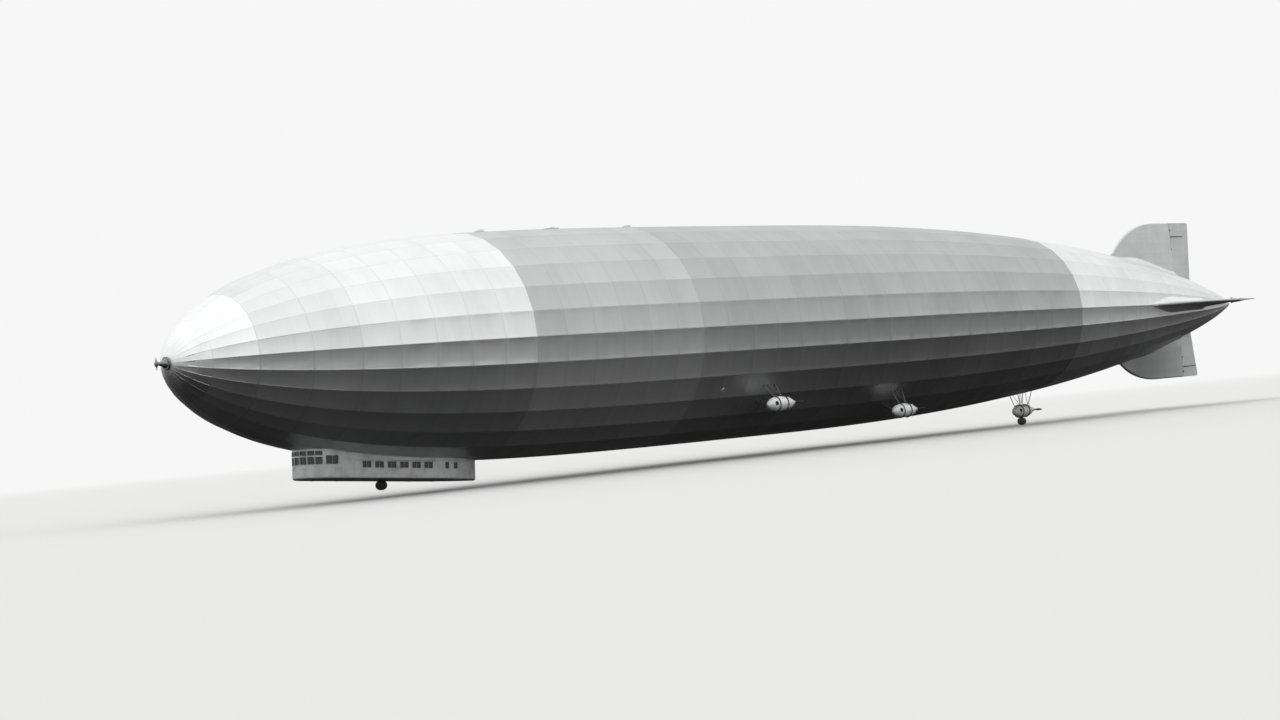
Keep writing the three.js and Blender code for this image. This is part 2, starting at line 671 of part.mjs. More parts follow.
// The door about its hinge pin, with a window.
function doorLeaf() {
  const left = -DOOR.front - DOOR.width - doorHinge.x;
  const right = -DOOR.front - doorHinge.x;
  const outside = -GONDOLA_HALF - doorHinge.y;
  const { side, sill, head } = DOOR_PANE;
  const leaf = block(left, right, outside, outside + DOOR.thickness, DOOR.sill, DOOR.sill + DOOR.height);
  const pane = block(left + side, right - side, -REACH, REACH, sill, head);
  const [pinLow, pinHigh] = [DOOR_ARMS[0] - 6, DOOR_ARMS.at(-1) + 6];
  const arms = DOOR_ARMS.flatMap((height) => {
    const [low, high] = [height - DOOR_ARM_HALF, height + DOOR_ARM_HALF];
    return [
      block(-16, 1, -DOOR_PIN, outside - 2 * SEAT, low, high),
      block(-16, right - 1, 0, outside + 1, low, high),
    ];
  });
  return join([leaf.subtract(pane), rod(point(0, 0, pinLow), point(0, 0, pinHigh), DOOR_PIN, 10), ...arms]);
}

function bulkhead(behind) {
  const top = behind < GONDOLA_STERN_START / 2 ? WALL_TOP : ROOM_HEIGHT - SEAT;
  const side = slab(gondolaPlan(GONDOLA_WALL + SEAT), SEAT, top, 9);
  const sheet = block(-behind - BULKHEAD_THICKNESS, -behind, -REACH, REACH, 0, WALL_TOP);
  const passage = block(-behind - 50, -behind + 50, -PASSAGE.half, PASSAGE.half, -1, PASSAGE.height);
  return side.intersect(sheet).subtract(passage);
}

// A crew handrail along one side, on stand-offs from the floor's edge.
function handrail(side) {
  const y = side * (GONDOLA_HALF + RAIL.out);
  const bar = rod(point(-RAIL.from, y, -RAIL.down), point(-RAIL.to, y, -RAIL.down), RAIL.radius, 6);
  const posts = [];
  for (let behind = RAIL.from + 60; behind < RAIL.to; behind += RAIL_POST.pitch) {
    const inner = point(-behind, side * (GONDOLA_HALF - RAIL_POST.sunk), -RAIL.down);
    posts.push(rod(point(-behind, y, -RAIL.down), inner, RAIL_POST.radius, 6));
  }
  return join([bar, ...posts]);
}

function bumper(top) {
  const profile = [[BUMPER_PROFILE[0][0], 0], ...BUMPER_PROFILE, [BUMPER_PROFILE.at(-1)[0], 0]];
  return solid(turned(profile, BUMPER_SIDES), placed(0, 0, top, 0, Math.PI / 2));
}

const airship = new THREE.Group();

for (const [name, front, rear, lengths] of HULL_SECTIONS) {
  airship.add(mesh(name, hullSection(front, rear, lengths), "fabric"));
}
airship.add(mesh("nose_cap", noseCap(), "bow_metal"));
airship.add(mesh("mooring_spindle", mooringSpindle(), "strut"));
airship.add(mesh("tail_cone", tailCone(), "fabric"));

for (const [finName, surfaceName, roll, foot, shoulder, footSpan, tipSpan, trailing] of FINS) {
  const tail = new THREE.Group();
  tail.rotation.x = THREE.MathUtils.degToRad(roll);
  airship.add(tail);
  const fin = cutByHull(finBlade(foot, shoulder, footSpan, tipSpan).add(finFairing(foot)), tail);
  tail.add(mesh(finName, join([fin, ...hingeLugs(tipSpan)]), "tail_fabric"));
  const surface = mesh(surfaceName, tailSurface(tipSpan, trailing), "tail_fabric");
  surface.position.x = NOSE_X - HINGE_AFT;
  tail.add(surface);
}

for (const [name, aft, port, up] of CARS) {
  const car = new THREE.Group();
  car.position.set(NOSE_X - aft, port, up);
  airship.add(car);
  car.add(mesh(name + "_shell", carShell(), "car"));
  car.add(mesh(name + "_engine", engineBlock(), "engine"));
  car.add(mesh(name + "_struts", cutByHull(carCradle(Math.atan2(-up, -port)), car), "strut"));
  const screw = mesh(name + "_propeller", propeller(), "wood");
  screw.position.x = PROPELLER_X;
  car.add(screw);
}

const gondola = new THREE.Group();
gondola.position.set(NOSE_X - GONDOLA_FRONT, 0, GONDOLA_FLOOR);
gondola.rotation.y = -GONDOLA_TILT;
airship.add(gondola);

const wall = without(cutByHull(gondolaBand(0, GONDOLA_WALL, SEAT, WALL_TOP), gondola), [
  ...controlWindows(),
  ...quarterWindows(),
  ...saloonWindows(),
  ...tailWindows(),
  doorway(),
]);
const portHalf = block(-REACH, REACH, SEAT / 2, REACH, -REACH, REACH);
const starboardHalf = block(-REACH, REACH, -REACH, -SEAT / 2, -REACH, REACH);
const controlRoom = lengthwise(-REACH, FRONT_WALL_REAR);
const saloon = lengthwise(FRONT_WALL_REAR + SEAT, GONDOLA_STERN_START);
const stern = lengthwise(GONDOLA_STERN_START + SEAT, REACH);
const portWall = wall.intersect(saloon).intersect(portHalf);
const starboardWall = join([wall.intersect(saloon).intersect(starboardHalf), ...doorEyes()]);
gondola.add(mesh("gondola_floor", gondolaFloor(), "cabin"));
gondola.add(mesh("control_room_wall", wall.intersect(controlRoom), "cabin"));
gondola.add(mesh("gondola_wall_port", portWall, "cabin"));
gondola.add(mesh("gondola_wall_starboard", starboardWall, "cabin"));
gondola.add(mesh("gondola_stern_wall", wall.intersect(stern), "cabin"));

const roofPlate = slab(gondolaPlan(GONDOLA_WALL + SEAT), ROOM_HEIGHT, ROOM_HEIGHT + ROOF_THICKNESS, 9);
const roofFront = BULKHEADS[0][1] + BULKHEAD_THICKNESS + SEAT;
const roof = cutByHull(roofPlate.intersect(lengthwise(roofFront, REACH)), gondola);
gondola.add(mesh("gondola_roof", roof, "cabin_inside"));
for (const [name, behind] of BULKHEADS) {
  gondola.add(mesh(name, cutByHull(bulkhead(behind), gondola), "cabin_inside"));
}

const paneOuter = GONDOLA_WALL + SEAT;
const controlBand = gondolaBand(
  paneOuter,
  paneOuter + GLASS,
  CONTROL_WINDOW_ROWS[0][0] - GLASS_LAP,
  CONTROL_WINDOW_ROWS[1][1] + GLASS_LAP,
);
const controlPanes = cutByHull(controlBand.intersect(lengthwise(-REACH, BULKHEADS[0][1] - SEAT)), gondola);
const saloonPanes = gondolaBand(
  paneOuter,
  paneOuter + GLASS,
  SALOON_WINDOWS.sill - GLASS_LAP,
  SALOON_WINDOWS.head + GLASS_LAP,
);
const paneRun = lengthwise(DOOR.front + DOOR.width + 30, BULKHEADS[1][1] - SEAT);
gondola.add(mesh("control_room_glass", controlPanes, "glass"));
const sidePanes = saloonPanes.intersect(paneRun);
gondola.add(mesh("gondola_glass_port", sidePanes.intersect(portHalf), "glass"));
gondola.add(mesh("gondola_glass_starboard", sidePanes.intersect(starboardHalf), "glass"));

const door = mesh("gondola_door", doorLeaf(), "cabin");
door.position.set(doorHinge.x, doorHinge.y, 0);
gondola.add(door);

const floorShape = gondola.getObjectByName("gondola_floor").geometry;
const floorGrown = solid(floorShape, new THREE.Matrix4().makeScale(1, 1.001, 1.01));
gondola.add(mesh("handrail_port", handrail(1).subtract(floorGrown), "strut"));
gondola.add(mesh("handrail_starboard", handrail(-1).subtract(floorGrown), "strut"));

const frontBumper = new THREE.Group();
frontBumper.position.set(-FRONT_BUMPER_BEHIND, 0, -FLOOR_BEVEL - FLOOR_RIM - SEAT);
frontBumper.rotation.y = GONDOLA_TILT;
gondola.add(frontBumper);
frontBumper.updateWorldMatrix(true, false);
const underFloor = block(-REACH, REACH, -REACH, REACH, -REACH, 0).transform(
  placed(0, 0, 0, 0, -GONDOLA_TILT).toArray(),
);
frontBumper.add(mesh("bumper_front", bumper(-2).intersect(underFloor), "rubber"));

const aftCar = CARS.at(-1);
const aftBumper = new THREE.Group();
aftBumper.position.set(NOSE_X - aftCar[1], 0, aftCar[3]);
airship.add(aftBumper);
const aftBag = bumper(-CAR_RADIUS - HOOP.proud + 2);
const aftCradle = solid(airship.getObjectByName(aftCar[0] + "_struts").geometry);
aftBumper.add(mesh("bumper_aft", aftBag.subtract(carBody(SEAT)).subtract(aftCradle), "rubber"));

export default airship;
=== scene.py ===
from math import atan2, copysign, cos, hypot, pi, radians, sin, sqrt, tau

import bmesh
import bpy
import numpy as np
from mathutils import Matrix, Vector


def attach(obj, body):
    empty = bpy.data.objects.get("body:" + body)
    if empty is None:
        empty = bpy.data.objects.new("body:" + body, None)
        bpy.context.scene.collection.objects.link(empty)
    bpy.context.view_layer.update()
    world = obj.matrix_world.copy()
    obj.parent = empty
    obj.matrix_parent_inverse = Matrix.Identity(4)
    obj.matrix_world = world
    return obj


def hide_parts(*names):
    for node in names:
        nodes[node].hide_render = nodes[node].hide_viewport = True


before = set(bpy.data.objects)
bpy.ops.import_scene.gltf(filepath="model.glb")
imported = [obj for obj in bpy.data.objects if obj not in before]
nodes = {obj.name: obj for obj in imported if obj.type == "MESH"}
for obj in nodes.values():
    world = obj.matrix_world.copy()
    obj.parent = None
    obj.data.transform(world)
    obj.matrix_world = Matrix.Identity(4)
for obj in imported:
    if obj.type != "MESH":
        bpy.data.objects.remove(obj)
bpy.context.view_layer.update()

# Camera, daylight and floor
# The ship floats nose-low over a pale floor, under an even bright sky. It is seen from its port bow,
# from close to the floor and through a long lens. The lit sky is above, and the light from below is weak.
PHOTO_WIDTH = 1280
FOCAL_PIXELS = 2396.4
FILM_WIDTH = 36.0
EYE = Vector((26.811, 22.818, -1.196))
EYE_RIGHT = Vector((-0.6907, 0.717, -0.0938))
EYE_UP = Vector((-0.0459, 0.0861, 0.9952))

camera_data = bpy.data.cameras.new("camera")
camera_data.sensor_width = FILM_WIDTH
camera_data.lens = FOCAL_PIXELS / PHOTO_WIDTH * FILM_WIDTH
camera_data.clip_start = 0.1
camera_data.clip_end = 3000.0
camera = bpy.data.objects.new("camera", camera_data)
bpy.context.scene.collection.objects.link(camera)
turn = Matrix((EYE_RIGHT, EYE_UP, EYE_RIGHT.cross(EYE_UP))).transposed()
camera.rotation_mode = "QUATERNION"
camera.rotation_quaternion = turn.to_quaternion().normalized()
camera.location = EYE
bpy.context.scene.camera = camera
bpy.context.scene.view_settings.view_transform = "Standard"

FLOOR_LEVEL = -1.8
FLOOR_REACH = 1200.0
FLOOR_FADE = (35.0, 160.0)  # metres from the ship, where the floor's tone runs into the sky's
FLOOR_PAINT = (0.76, 0.76, 0.755)
SKY_SEEN = (0.93, 0.93, 0.93)
SKY_RAMP = [
    # height of the direction, from 0 straight down to 1 straight up, and its brightness
    (0.0, 0.008),
    (0.3, 0.012),
    (0.462, 0.09),
    (0.494, 0.45),
    (0.524, 0.84),
    (0.75, 1.0),
    (1.0, 1.2),
]


class Nodes:
    """Short calls for building the nodes of a material, a shader group or the sky."""

    def __init__(self, tree):
        self.tree = tree

    def add(self, kind, **settings):
        node = self.tree.nodes.new(kind)
        for name, value in settings.items():
            setattr(node, name, value)
        return node

    def feed(self, node, name, value):
        socket = node.inputs[name]
        if isinstance(value, bpy.types.NodeSocket):
            self.tree.links.new(value, socket)
        elif isinstance(value, tuple) and len(value) == 3 and socket.type == "RGBA":
            socket.default_value = (*value, 1)
        else:
            socket.default_value = value

    def put(self, kind, output, feeds, **settings):
        """One output of a new node, with values or links fed to its inputs."""
        node = self.add(kind, **settings)
        for name, value in feeds.items():
            self.feed(node, name, value)
        return node.outputs[output]

    def math(self, operation, a, b=0.0):
        return self.put("ShaderNodeMath", 0, {0: a, 1: b}, operation=operation)

    def times(self, a, b):
        return self.math("MULTIPLY", a, b)

    def noise(self, vector, scale, detail, rough):
        feeds = {"Vector": vector, "Scale": scale, "Detail": detail, "Roughness": rough}
        return self.put("ShaderNodeTexNoise", "Fac", feeds)

    def mapped(self, value, low, high, to_low=0.0, to_high=1.0, smooth=False):
        feeds = {"Value": value, "From Min": low, "From Max": high, "To Min": to_low, "To Max": to_high}
        way = "SMOOTHSTEP" if smooth else "LINEAR"
        return self.put("ShaderNodeMapRange", "Result", feeds, interpolation_type=way)

    def mix(self, share, a, b, **settings):
        return self.put("ShaderNodeMix", 2, {0: share, 6: a, 7: b}, data_type="RGBA", **settings)

    def scaled(self, vector, factors):
        return self.put("ShaderNodeVectorMath", 0, {0: vector, 1: factors}, operation="MULTIPLY")

    def axes(self, vector):
        node = self.add("ShaderNodeSeparateXYZ")
        self.feed(node, 0, vector)
        return node.outputs

    def point(self):
        """Where the surface is, in the ship's own place."""
        return self.add("ShaderNodeTexCoord").outputs["Object"]

    def marks(self, name):
        """The coordinates that a mesh carries under a name."""
        return self.add("ShaderNodeUVMap", uv_map=name).outputs["UV"]

    def place(self, group, **values):
        """The outputs of a shader group, placed with its own values."""
        node = self.add("ShaderNodeGroup", node_tree=group)
        for name, value in values.items():
            self.feed(node, name, value)
        return node.outputs

    def bump(self, shader, height, strength, distance):
        feeds = {"Height": height, "Strength": strength, "Distance": distance}
        self.feed(shader, "Normal", self.put("ShaderNodeBump", 0, feeds))


world = bpy.data.worlds.new("sky")
bpy.context.scene.world = world
world.use_nodes = True
world.node_tree.nodes.clear()
n = Nodes(world.node_tree)
ramp = n.add("ShaderNodeValToRGB")
while len(ramp.color_ramp.elements) < len(SKY_RAMP):
    ramp.color_ramp.elements.new(0.5)
for element, (at, bright) in zip(ramp.color_ramp.elements, SKY_RAMP):
    element.position = at
    element.color = (bright, bright, bright, 1)
direction = n.axes(n.add("ShaderNodeTexCoord").outputs["Generated"])
n.feed(ramp, "Fac", n.mapped(direction["Z"], -1.0, 1.0))
lit = n.put("ShaderNodeBackground", 0, {"Color": ramp.outputs["Color"]})
seen = n.put("ShaderNodeBackground", 0, {"Color": SKY_SEEN})
by_camera = n.add("ShaderNodeLightPath").outputs["Is Camera Ray"]
background = n.put("ShaderNodeMixShader", 0, {0: by_camera, 1: lit, 2: seen})
n.feed(n.add("ShaderNodeOutputWorld"), "Surface", background)

quarters = ((-1, -1), (1, -1), (1, 1), (-1, 1))
floor_corners = [(x * FLOOR_REACH, y * FLOOR_REACH, FLOOR_LEVEL) for x, y in quarters]
floor_mesh = bpy.data.meshes.new("floor")
floor_mesh.from_pydata(floor_corners, [], [(0, 1, 2, 3)])
floor = bpy.data.objects.new("floor", floor_mesh)
bpy.context.scene.collection.objects.link(floor)
floor.visible_diffuse = False
floor.visible_glossy = False


def finish_of(name, **constants):
    """A new material, its nodes and its shader, with the surface's constants on the shader itself."""
    material = bpy.data.materials.new(name)
    material.use_nodes = True
    shader = material.node_tree.nodes["Principled BSDF"]
    for socket, value in constants.items():
        shader.inputs[socket.replace("_", " ")].default_value = value
    return material, Nodes(material.node_tree), shader


floor_paint, n, shader = finish_of("floor_paint", Base_Color=(*FLOOR_PAINT, 1), Roughness=0.9)
glow = n.put("ShaderNodeEmission", 0, {"Color": SKY_SEEN})
distance = n.put("ShaderNodeVectorMath", "Value", {0: n.point()}, operation="LENGTH")
far = n.mapped(distance, *FLOOR_FADE, smooth=True)
faded = n.put("ShaderNodeMixShader", 0, {0: far, 1: shader.outputs["BSDF"], 2: glow})
n.feed(floor_paint.node_tree.nodes["Material Output"], "Surface", faded)
floor_mesh.materials.append(floor_paint)

# Hull cover
# Doped cotton stretched over 28 longitudinal girders and the rings, so that every bay is a flat panel
# with a slight hollow. The seams over girders and rings are taped. Some bays are freshly silvered.
NOSE_X = 10.8
HULL_LENGTH = 23.66
HULL_RADIUS = 1.525
HULL_SIDES = 28
HULL_WALL = 0.01
BOW_LENGTH, BOW_FULLNESS = 15.32, (7.29, 0.576)
STERN_LENGTH, STERN_FULLNESS = 13.12, (2.234, 0.836)
SECTIONS = [
    # name, front, rear
    ("bow_front", 0.3, 0.75),
    ("bow_middle", 0.75, 1.95),
    ("bow_rear", 1.95, 4.5),
    ("fore_body", 4.5, 7.5),
    ("mid_body", 7.5, 10.5),
    ("aft_body", 10.5, 13.5),
    ("stern_front", 13.5, 16.85),
    ("stern_middle", 16.85, 19.8),
    ("stern_rear", 19.8, 22.4),
]
SEAT = 0.0003  # gap to the next piece
BAY = 0.5  # between rings
BAY_SHARES = (0.0, 0.02, 0.04, 0.2, 0.5, 0.8, 0.96, 0.98)
FACET_SHARES = (0.0, 0.025, 0.045, 0.24, 0.5, 0.76, 0.955, 0.975)
TAPE_SHARES = (0.025, 0.03)  # of a bay and of a facet, from its edge
HOLLOW = 0.0065
TAPE = 0.0006


def between(a, b, share):
    return a + (b - a) * share


def hull_radius(aft):
    bow = max(0.0, 1 - aft / BOW_LENGTH)
    stern = max(0.0, (aft - HULL_LENGTH + STERN_LENGTH) / STERN_LENGTH)
    bow_share = (1 - bow ** BOW_FULLNESS[0]) ** BOW_FULLNESS[1]
    stern_share = max(0.0, 1 - stern ** STERN_FULLNESS[0]) ** STERN_FULLNESS[1]
    return HULL_RADIUS * bow_share * stern_share


def facet_point(aft, radius, corner, share):
    """A point on the hull's facet that starts at a corner, at a share of the way to the next corner."""
    a, b = (pi / 2 + k * tau / HULL_SIDES for k in (corner, corner + 1))
    y = radius * between(cos(a), cos(b), share)
    z = radius * between(sin(a), sin(b), share)
    return NOSE_X - aft, y, z


def facet_ring(aft, radius, height=lambda share: 0.0):
    """Points round the hull's polygon, each raised by the height at its share of the facet."""
    ring = []
    for corner in range(HULL_SIDES):
        for share in FACET_SHARES:
            x, y, z = facet_point(aft, radius, corner, share)
            grow = 1 + height(share) / radius
            ring.append((x, y * grow, z * grow))
    return ring


def bay_rows(low, high, bay, shares=(0.0, 0.05, 0.25, 0.5, 0.75, 0.95)):
    """Places from low to high in equal bays, each with its share of the bay and its count of bays."""
    count = max(1, round((high - low) / bay))
    rows = [(between(low, high, (i + s) / count), s, i + s) for i in range(count) for s in shares]
    return [*rows, (high, 1.0, float(count))]


def cover_height(radius, bay_share, facet_share):
    """How far the cover stands proud of the flat facet: taped seams, and a hollow between them."""
    across, along = (sin(pi * s) ** 2 for s in (facet_share, bay_share))
    hollow = -HOLLOW * min(1.0, radius) * across ** 0.5 * between(0.35, 1.0, along ** 0.5)
    taped = any(min(s, 1 - s) < edge for s, edge in zip((bay_share, facet_share), TAPE_SHARES))
    return hollow + (TAPE if taped else 0.0)


def circle(radius, count, shift=0.0, tall=None):
    """Pairs round a circle, or an oval of two radii, turned on by a share of a step."""
    turns = ((k + shift) * tau / count for k in range(count))
    return [(radius * cos(t), (tall or radius) * sin(t)) for t in turns]


def ring_faces(rings, around, wrap=False):
    """Quads between rings of points, each ring closed on itself. A wrapped run joins last to first."""
    faces = []
    for i in range(rings if wrap else rings - 1):
        low, high = i * around, (i + 1) % rings * around
        for j in range(around):
            k = (j + 1) % around
            faces.append((low + j, low + k, high + k, high + j))
    return faces


def mesh_of(name, points, faces):
    mesh = bpy.data.meshes.new(name)
    mesh.from_pydata([tuple(p) for p in points], [], faces)
    mesh.update()
    return mesh


def outwards(mesh, weld=False):
    """A mesh with its faces turned outwards, and with doubled points welded first if asked."""
    work = bmesh.new()
    work.from_mesh(mesh)
    if weld:
        bmesh.ops.remove_doubles(work, verts=work.verts, dist=1e-6)
    bmesh.ops.recalc_face_normals(work, faces=work.faces)
    work.to_mesh(mesh)
    work.free()
    return mesh


class Form:
    """The points and faces of one mesh, gathered body by body."""

    def __init__(self):
        self.points, self.faces = [], []

    def add(self, points, faces):
        start = len(self.points)
        self.points += [Vector(p) for p in points]
        self.faces += [tuple(start + i for i in face) for face in faces]
        return self

    def join(self, other, placement=None):
        points = [placement @ p for p in other.points] if placement else other.points
        return self.add(points, other.faces)

    def moved(self, placement):
        self.points = [placement @ p for p in self.points]
        return self

    def loft(self, rings, wrap=False):
        """A closed body through rings of points. The ends are capped, or joined to each other."""
        around = len(rings[0])
        faces = ring_faces(len(rings), around, wrap)
        if not wrap:
            faces += [tuple(range(around)), tuple(range((len(rings) - 1) * around, len(rings) * around))]
        return self.add([p for ring in rings for p in ring], faces)

    def turned(self, profile, sides, wrap=False):
        """A body turned about X, from pairs of x and radius."""
        return self.loft([[(x, y, z) for y, z in circle(r, sides)] for x, r in profile], wrap)

    def upright(self, profile, sides, wrap=False):
        """A body turned about Z, from pairs of radius and height."""
        return self.loft([[(x, y, up) for x, y in circle(r, sides)] for r, up in profile], wrap)

    def tube(self, path, radius, sides=8, wrap=False):
        """A round bar along a path. The radius is one number, or one for each point."""
        path = [Vector(p) for p in path]
        radii = radius if isinstance(radius, list) else [radius] * len(path)
        rings, side = [], None
        for i, at in enumerate(path):
            before = path[i - 1] if i or wrap else at
            after = path[(i + 1) % len(path)] if i + 1 < len(path) or wrap else at
            ahead = (after - before).normalized()
            if side is None:
                side = ahead.orthogonal().normalized()
            side = (side - ahead * side.dot(ahead)).normalized()
            other = ahead.cross(side)
            rings.append([at + a * side + b * other for a, b in circle(radii[i], sides)])
        return self.loft(rings, wrap)

    def block(self, low, high, c):
        """A block between two corners, its upright edges and its rims cut off by c."""
        (x0, y0, z0), (x1, y1, z1) = low, high
        rings = []
        for z, inset in ((z0, c), (z0 + c, 0.0), (z1 - c, 0.0), (z1, c)):
            a, b, d, e = x0 + inset, x1 - inset, y0 + inset, y1 - inset
            corners = [(a + c, d), (b - c, d), (b, d + c), (b, e - c)]
            corners += [(b - c, e), (a + c, e), (a, e - c), (a, d + c)]
            rings.append([(x, y, z) for x, y in corners])
        return self.loft(rings)

    def standing(self, outline, heights, at=(0.0, 0.0)):
        """A prism along Z from an outline of x and y about a middle."""
        return self.loft([[(at[0] + a, at[1] + b, z) for a, b in outline] for z in heights])

    def across(self, outline, sides, at=(0.0, 0.0)):
        """A prism along Y from an outline of x and z about a middle."""
        return self.loft([[(at[0] + a, y, at[1] + b) for a, b in outline] for y in sides])

    def mesh(self, name):
        return outwards(mesh_of(name, self.points, self.faces), weld=True)


def piece(name, source, body, slot, material, *replaced, sharp=30.0, at=None):
    """A mesh or a form, moved into place, as a piece that rides on a body and takes a finish. The slot is
    not used.
    """
    mesh = source.mesh(name) if isinstance(source, Form) else source
    if at:
        mesh.transform(at)
    mesh.materials.append(material)
    mesh.shade_smooth()
    mesh.set_sharp_from_angle(angle=radians(sharp))
    made = bpy.data.objects.new(name, mesh)
    bpy.context.scene.collection.objects.link(made)
    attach(made, body)
    if replaced:
        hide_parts(*replaced)
    return made


def cover_section(name, front, rear):
    """One length of the cover with its lining. Its "cover" coordinates count bays along and facets round."""
    stations = bay_rows(front, rear, BAY, BAY_SHARES)
    bays = stations[-1][2]
    stations[-1] = (rear - SEAT, 1.0, bays)
    rings = []
    for aft, bay_share, _ in stations:
        radius = hull_radius(aft)
        rings.append(facet_ring(aft, radius, lambda share: cover_height(radius, bay_share, share)))
    rings += [facet_ring(aft, hull_radius(aft) - HULL_WALL) for aft in (rear - SEAT, front)]
    around = len(rings[0])
    form = Form().loft(rings, wrap=True)
    mesh = mesh_of(name, form.points, form.faces)
    layer = mesh.uv_layers.new(name="cover")
    counts = [*(count for _, _, count in stations), bays, 0]
    facets = [corner + share for corner in range(HULL_SIDES) for share in FACET_SHARES]
    start = round(front * 100)
    for face in mesh.polygons:
        last_facet = any(mesh.loops[k].vertex_index % around == around - 1 for k in face.loop_indices)
        for k in face.loop_indices:
            at = mesh.loops[k].vertex_index
            v = facets[at % around]
            layer.data[k].uv = (start + counts[at // around], HULL_SIDES if v == 0 and last_facet else v)
    return mesh


def effect(name, inputs, outputs):
    """An empty shader group with named inputs and number outputs, its nodes, and its two ends."""
    group = bpy.data.node_groups.new(name, "ShaderNodeTree")
    for socket, value in inputs.items():
        kind = "NodeSocketVector" if isinstance(value, tuple) else "NodeSocketFloat"
        group.interface.new_socket(name=socket, in_out="INPUT", socket_type=kind).default_value = value
    for socket in outputs:
        group.interface.new_socket(name=socket, in_out="OUTPUT", socket_type="NodeSocketFloat")
    n = Nodes(group)
    return group, n, n.add("NodeGroupInput").outputs, n.add("NodeGroupOutput")


# Grime that gathers in blotches and runs down with the rain.
grime_group, n, given, result = effect("grime", {"Position": (0, 0, 0), "Scale": 1.0}, ("Blotch", "Streak"))
blotches = n.noise(given["Position"], given["Scale"], 5, 0.6)
streaks = n.noise(n.scaled(given["Position"], (6.0, 1.2, 0.7)), given["Scale"], 4, 0.65)
n.feed(result, "Blotch", n.mapped(blotches, 0.35, 0.7, smooth=True))
n.feed(result, "Streak", n.mapped(streaks, 0.4, 0.75, smooth=True))


def cell_tone(n, along, across):
    """A number that is the same all over one cell of a grid, and differs from cell to cell."""
    cell = n.put("ShaderNodeCombineXYZ", 0, {"X": n.math("FLOOR", along), "Y": n.math("FLOOR", across)})
    return n.put("ShaderNodeTexWhiteNoise", "Value", {"Vector": cell}, noise_dimensions="2D")


def near_whole(n, value, width):
    """1 where a count is whole, falling to 0 at a width from there."""
    off = n.math("ABSOLUTE", n.math("SUBTRACT", value, n.math("ROUND", value)))
    return n.mapped(off, width, 0.3 * width, smooth=True)


# Taped seams and the tone of each cloth panel, from counts of bays and facets. Three strips make a bay.
STRIPS = 3.0
panel_group, n, given, result = effect(
    "cloth_panels", {"Cover": (0, 0, 0), "Position": (0, 0, 0)}, ("Tone", "Seam", "Height")
)
cover_at = n.axes(given["Cover"])
strip_at = n.times(cover_at["X"], STRIPS)
bay_tone = n.times(cell_tone(n, cover_at["X"], cover_at["Y"]), 0.7)
strip_tone = n.times(cell_tone(n, strip_at, cover_at["Y"]), 0.3)
seam = n.math("MAXIMUM", near_whole(n, cover_at["X"], 0.018), near_whole(n, cover_at["Y"], 0.022))
stitch = n.times(near_whole(n, strip_at, 0.03), 0.35)
pucker = n.noise(n.scaled(given["Position"], (9.0, 9.0, 9.0)), 1.6, 4, 0.6)
n.feed(result, "Tone", n.math("ADD", bay_tone, strip_tone))
n.feed(result, "Seam", n.math("MAXIMUM", seam, stitch))
n.feed(result, "Height", n.math("ADD", n.times(seam, 0.4), pucker))

SILVERED = [
    # aft, how freshly silvered the cover is from there on, how metallic its dope is
    (0.0, 1.0, 0.93),
    (0.75, 0.72, 0.89),
    (1.95, 0.82, 0.89),
    (4.5, 0.24, 0.7),
    (7.5, 0.06, 0.78),
    (16.85, 0.76, 0.78),
]
HARDENED = (7.5, 11.5, 0.0, 0.17)  # aft from and to, and how much more metallic the dope grows from and to
WEATHERED, NEW_DOPE = (0.49, 0.495, 0.495), (0.96, 0.965, 0.97)
CLOTH_BUMP = (0.25, 0.004)  # strength, distance

cover_cloth, n, shader = finish_of("doped_cover")
where = n.point()
panels = n.place(panel_group, Cover=n.marks("cover"), Position=where)
grime = n.place(grime_group, Position=where, Scale=0.9)
aft = n.math("SUBTRACT", NOSE_X, n.axes(where)["X"])
fresh, metallic = SILVERED[0][1:]
for before, after in zip(SILVERED, SILVERED[1:]):
    past = n.math("GREATER_THAN", aft, after[0])
    fresh = n.math("ADD", fresh, n.times(past, after[1] - before[1]))
    metallic = n.math("ADD", metallic, n.times(past, after[2] - before[2]))
tone = n.mapped(panels["Tone"], 0, 1, 0.965, 1.03)
for mask, share in ((panels["Seam"], 0.1), (grime["Blotch"], 0.05), (grime["Streak"], 0.04)):
    tone = n.math("SUBTRACT", tone, n.times(mask, share))
grey = n.put("ShaderNodeCombineColor", 0, {"Red": tone, "Green": tone, "Blue": tone})
n.feed(shader, "Base Color", n.mix(1.0, n.mix(fresh, WEATHERED, NEW_DOPE), grey, blend_type="MULTIPLY"))
n.feed(shader, "Metallic", n.math("ADD", metallic, n.mapped(aft, *HARDENED)))
soiled = n.times(grime["Blotch"], 0.06)
n.feed(shader, "Roughness", n.math("ADD", n.mapped(fresh, 0, 1, 0.43, 0.34), soiled))
n.bump(shader, panels["Height"], *CLOTH_BUMP)

for name, front, rear in SECTIONS:
    cover = cover_section("cover_" + name, front, rear)
    piece("cover_" + name, cover, "ship", "hull_fabric", cover_cloth, "hull_" + name, sharp=6.0)

# Bow cap
# Bright sheet metal over the foremost frame, in gores that lap at the girders and at one ring seam, and
# riveted down. It is open in the middle, where the mooring spindle passes through.
BOW_CAP_END = 0.3
BOW_CAP_OPENING = 0.0432
BOW_CAP_RINGS = 22
BOW_CAP_SEAM = (0.13, 0.008)  # aft, half width
BOW_CAP_LAP = 0.0016
BOW_CAP_RIVET_ROWS = (0.05, 0.09, 0.17, 0.21, 0.25, 0.285)


def facing(direction, at=(0, 0, 0)):
    """The placement that turns X to a direction and moves the origin to a point."""
    turn = Vector((1, 0, 0)).rotation_difference(Vector(direction)).to_matrix().to_4x4()
    return Matrix.Translation(at) @ turn


